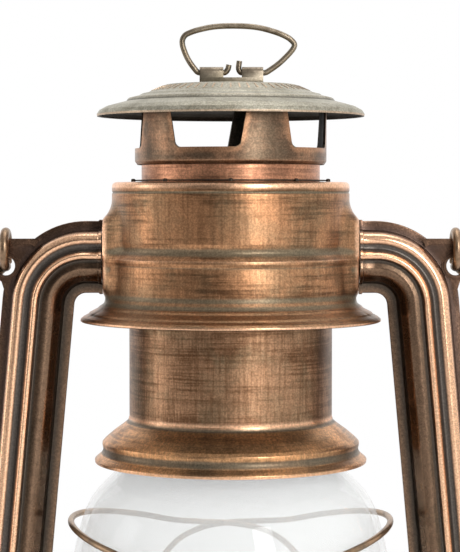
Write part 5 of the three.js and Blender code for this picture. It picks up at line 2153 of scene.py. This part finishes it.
@dataclass
class SideTubes:
    """Side air tubes, each pressed as a front and a back half, with the bail's ears."""

    start: Point = (36.9, 213.5)
    bend: Point = (41.55, 199.6)
    bend_radius: float = 13.9
    slope: float = 5.2
    foot: Point = (36.08, 82.07)
    foot_radius: float = 30.0
    hole: Point = (64.75, 211.0)
    hole_radius: float = 2.8
    rim: float = 4.1
    ear_start: float = 56.6
    ear_top: float = 218.8
    flange: float = 8.95
    reach: float = 70.95
    port_growth: float = 1.035

    def path(self) -> tuple[np.ndarray, np.ndarray]:
        """Draws the right tube's middle line.

        Returns:
            The line's points, and the outward direction at each.
        """
        level = self.start[1]
        stops = [(self.start[0] + step, level, 90.0) for step in (0.0, 0.8, 1.1)]
        stops += arc(self.bend, self.bend_radius, np.linspace(90, self.slope, 22))
        turn_in = arc(self.foot, self.foot_radius, np.linspace(self.slope, -90, 26))
        (x0, z0, _), (x1, z1, _) = stops[-1], turn_in[0]
        shares = np.linspace(0, 1, 22)[1:-1]
        stops += [(x0 + (x1 - x0) * s, z0 + (z1 - z0) * s, self.slope) for s in shares]
        stops += turn_in
        line = np.array([(x, 0.0, z) for x, z, _ in stops])
        sides = np.array([(math.cos(math.radians(t)), 0.0, math.sin(math.radians(t))) for _, _, t in stops])
        return line, sides

    def section(self, facing: int) -> list[Point]:
        """Outline of one pressed half.

        Args:
            facing: 1 for the front half, -1 for the back.

        Returns:
            A closed outline (towards the outer seam, towards the front).
        """
        skin = [
            (10.35, 0.15), (10.35, 0.85, 0.3), (7.7, 0.85, 0.3), (7.35, 3.4, 0.8), (6.5, 5.7, 1.3),
            (4.9, 6.55, 2.4), (3.6, 5.75, 1.0), (2.5, 5.65, 0.8), (1.55, 7.0, 0.9), (0.75, 8.25, 0.6),
            (-0.25, 7.75, 0.45), (-0.8, 6.25, 0.35), (-1.7, 6.3, 0.5), (-3.3, 6.65, 2.4),
            (-5.2, 5.8, 2.2), (-6.8, 3.6, 1.6), (-7.55, 0.85, 0.35), (-10.35, 0.85, 0.3), (-10.35, 0.15),
        ]
        lining = [
            (-6.85, 0.15), (-6.0, 3.3, 1.2), (-4.75, 5.0, 1.2), (-3.2, 5.75, 0.8), (-1.0, 5.5, 0.8),
            (2.7, 5.0, 0.8), (4.8, 5.75, 0.8), (5.9, 5.0, 0.6), (6.5, 3.3, 0.6), (6.85, 0.15),
        ]
        return [(across, depth * facing) for across, depth in rounded(skin, 4) + rounded(lining, 3)]

    def build(self) -> list[Piece]:
        """Builds the four halves.

        Returns:
            The halves.
        """
        line, sides = self.path()
        growth = np.ones(len(line))
        growth[:2] = self.port_growth
        x, z = self.hole
        made = []
        for facing, name in ((1, "front"), (-1, "back")):
            half = swept(line, sides, self.section(facing), growth)
            hole = rod((x, -12, z), (x, 12, z), self.hole_radius if facing > 0 else self.rim + 0.3, 48)
            grown = self.ear() if facing > 0 else []
            for side in ("right", "left"):
                turn = (lambda shape: shape) if side == "right" else Shape.flipped
                tube = as_object(turn(half), f"air_tube_{side}_{name}")
                fused(tube, *[turn(shape) for shape in grown])
                cut(tube, turn(hole))
                self.mark_flow(tube, line, sides)
                made.append(dress(tube, Finish.TUBE_BRONZE, "frame", f"tube_{side}_{name}"))
        return made

    def mark_flow(self, tube: Piece, line: np.ndarray, sides: np.ndarray) -> None:
        """Marks the way round, the way along and the distance across the tube on its surface.

        Args:
            tube: A finished half.
            line: Middle line of the right tube.
            sides: Its outward directions.
        """
        spots = places(tube.data)
        spots[:, 0] = np.abs(spots[:, 0])
        nearest = np.array([int(((line - spot) ** 2).sum(axis=1).argmin()) for spot in spots])
        across = ((spots - line[nearest]) * sides[nearest]).sum(axis=1)
        flow = np.column_stack([across + spots[:, 1], lengths_along(line)[nearest], across])
        set_flow(tube.data, flow)

    def ear(self) -> list[Shape]:
        """Shapes the plate that holds the bail, with its top bar and the hole's raised rim.

        Returns:
            The ear's closed shapes.
        """
        edge = arc(self.bend, self.bend_radius + self.flange, np.linspace(4, 56, 16))
        start, top = self.ear_start, self.ear_top
        corners = [
            (start, top), (self.reach - 4.2, top), (self.reach - 0.9, top - 2.2), (self.reach, top - 6),
            (self.reach - 1.2, top - 9.6), (self.reach - 5, top - 12.4),
        ]
        bar = [
            (start - 1.5, top - 0.6), (start + 0.6, top), (self.reach - 4.2, top),
            (self.reach - 3.9, top - 1.5), (start + 1.2, top - 1.5), (start - 0.6, top - 2.3),
        ]
        hole_x, hole_z = self.hole
        return [
            plate([*[(x, z) for x, z, _ in edge], *corners], -0.95, -0.15), plate(bar, -1.9, -0.2),
            rod((hole_x, -1.2, hole_z), (hole_x, 1.0, hole_z), self.rim, 48),
            rod((hole_x, -1.75, hole_z), (hole_x, 0, hole_z), self.hole_radius + 0.75, 48),
        ]


@dataclass
class Bail:
    """Carrying handle, which hangs behind the lantern."""

    wire: float = 1.35
    loop: float = 5.0
    pivot: float = 215.65
    half_width: float = 69.55
    arm: float = 68.0
    lean: float = 25.0
    ear: float = 64.75

    def build(self, tools: Toolbox) -> Piece:
        """Bends the handle from one ear's loop to the other's.

        Args:
            tools: The shared tools.

        Returns:
            The bail.
        """
        hook = [(self.ear, self.loop, turn) for turn in range(18, 341, 20)]
        hook += [
            (self.ear, self.loop, 347), (self.ear + 0.8, self.loop + 0.5, 354),
            (self.ear + 2.7, self.loop + 2.5, 358), (self.half_width - 0.8, self.loop + 5.4, 360),
            (self.half_width, self.loop + 10, 360), (self.half_width, self.arm - 14, 360),
        ]
        bow = [
            (self.half_width * math.cos(a), self.arm + self.half_width * math.sin(a), 360)
            for a in np.linspace(0, math.pi, 17)
        ]
        stops = hook + bow + [(-x, reach, turn) for x, reach, turn in hook[::-1]]
        points = []
        for x, reach, turn in stops:
            angle = math.radians(self.lean + turn)
            points.append((x, reach * math.sin(angle), self.pivot - reach * math.cos(angle)))
        wire = tools.drawn(curve_through(points, 6), self.wire, "carrying_handle", Finish.BAIL_BRONZE, 24)
        return dress(wire, Finish.BAIL_BRONZE, "handle", "bail")


@dataclass
class LiftLever:
    """Thumb lever that raises the globe's cradle, and its bracket."""

    edge: float = 0.3

    def build(self) -> list[Piece]:
        """Builds the lever and the bracket on the right tube.

        Returns:
            Both pieces.
        """
        lever = refined("lift_lever", "thumb_lever", self.edge)
        bracket = refined("lever_bracket", "lever_cheeks", self.edge)
        return [
            dress(lever, Finish.CANOPY_COPPER, "globe_lever", "lift_lever"),
            dress(bracket, Finish.TUBE_BRONZE, "frame", "lever_bracket"),
        ]


@dataclass
class Studio:
    """White studio with soft lamps, a pale floor and the photograph's camera."""

    eye: Spot = (-0.2, -561.0, 231.7)
    pitch: float = 2.42
    lens: float = 127.1
    aim: float = 0.2
    floor: float = 3.0
    floor_step: float = 1.0
    floor_fade: Span = (0.28, 0.55)
    paper: Colour = (0.86, 0.86, 0.86)
    room: float = 0.27
    lamps: tuple[tuple, ...] = (
        ("key", (0.52, -1.05, 0.62), (0.3, 0.8), 8.0), ("fill", (-1.25, -0.02, 0.4), (0.4, 0.8), 1.9),
        ("top", (0.15, 0.2, 1.4), (0.8, 0.8), 5.0),
    )
    walls: tuple[tuple, ...] = (
        ((0.0, 1.0, 0.0), -0.05, 0.75, 1.25), ((0.94, -0.34, 0.0), 0.2, 0.8, 1.0),
        ((-0.94, -0.34, 0.0), 0.5, 0.95, 0.56), ((0.0, 0.0, 1.0), 0.5, 0.95, 0.6),
        ((-0.42, -0.91, 0.0), 0.82, 0.98, 0.05),
    )

    def build(self) -> None:
        """Sets the view, the camera, the world, the lamps and the floor."""
        bpy.context.scene.view_settings.view_transform = "Standard"
        self.camera()
        self.world()
        for lamp in self.lamps:
            self.lamp(*lamp)
        self.ground()

    def camera(self) -> None:
        """Places the camera."""
        data = bpy.data.cameras.new("camera")
        data.sensor_fit = "AUTO"
        data.sensor_width = 36
        data.lens = self.lens
        view = placed("camera", data)
        view.location = [value * MM for value in self.eye]
        view.rotation_euler = (math.radians(90 - self.pitch), 0, 0)
        bpy.context.scene.camera = view

    def lamp(self, name: str, place: Spot, size: Point, power: float) -> None:
        """Adds a soft lamp that faces the lantern's middle.

        Args:
            name: The lamp's name.
            place: Its place in metres.
            size: Its width and height in metres.
            power: Its power in watts.
        """
        data = bpy.data.lights.new(name, "AREA")
        data.shape = "RECTANGLE"
        data.size, data.size_y = size
        data.energy = power
        light = placed(name, data)
        light.location = place
        aim = np.array([0, 0, self.aim]) - np.array(place)
        across = math.hypot(aim[0], aim[1])
        light.rotation_euler = (math.atan2(across, -aim[2]), 0, math.atan2(-aim[0], aim[1]))

    def world(self) -> None:
        """Makes the surroundings white to the eye, with a darker side for metal to mirror."""
        world = bpy.data.worlds.new("studio")
        bpy.context.scene.world = world
        world.use_nodes = True
        world.node_tree.nodes.clear()
        tree = Tree(world.node_tree)
        away = tree.node("ShaderNodeTexCoord").outputs["Generated"]
        room: object = (self.room, self.room, self.room)
        for way, low, high, level in self.walls:
            toward = tree.node(
                "ShaderNodeVectorMath", {0: away, 1: way}, operation="DOT_PRODUCT"
            ).outputs["Value"]
            room = tree.blend(tree.span(toward, low, high), room, (level, level, level))
        path = tree.node("ShaderNodeLightPath").outputs
        colour = tree.blend(path["Is Camera Ray"], room, WHITE)
        colour = tree.blend(path["Is Transmission Ray"], colour, WHITE)
        background = tree.node("ShaderNodeBackground", {"Color": colour, "Strength": 1.0})
        tree.node("ShaderNodeOutputWorld", {"Surface": background.outputs[0]})

    def ground(self) -> None:
        """Lays the pale floor, whose far part is as white as the backdrop."""
        rim = self.floor / MM
        disc = turned([(0, -0.2), (rim, -0.2), (rim, -6.0), (0, -6.0)], 96, self.floor_step / MM)
        floor = as_object(disc, "floor")
        material, tree = empty_material("floor_white")
        place = tree.node("ShaderNodeTexCoord").outputs["Object"]
        reach = tree.node("ShaderNodeVectorMath", {0: place}, operation="LENGTH").outputs["Value"]
        far = tree.span(reach, *self.floor_fade)
        path = tree.node("ShaderNodeLightPath").outputs
        seen = tree.math("MAXIMUM", path["Is Camera Ray"], path["Is Transmission Ray"])
        shown = tree.times(far, seen)
        paper = tree.node("ShaderNodeBsdfPrincipled", {"Base Color": self.paper, "Roughness": 0.9})
        white = tree.node("ShaderNodeEmission", {"Color": WHITE, "Strength": 1.0})
        mix = tree.node("ShaderNodeMixShader", {0: shown, 1: paper.outputs[0], 2: white.outputs[0]})
        tree.node("ShaderNodeOutputMaterial", {"Surface": mix.outputs[0]})
        floor.data.materials.append(material)


def main() -> None:
    """Builds the lantern from the ground up, then the studio, and reports each piece."""
    logging.basicConfig(level=logging.INFO, format="%(message)s")
    tools = Toolbox()
    pieces = [
        *Tank().build(), *Filler().build(tools), *AirChamber().build(), *Burner().build(tools),
        *GlobeCradle().build(tools), *Chimney().build(tools), FingerRing().build(tools),
        *Canopy().build(tools), *SideTubes().build(), Bail().build(tools), *LiftLever().build(),
    ]
    for piece in pieces:
        LOG.info("%s: %d faces", piece.name, len(piece.data.polygons))
    Studio().build()


if __name__ == "__main__":
    main()
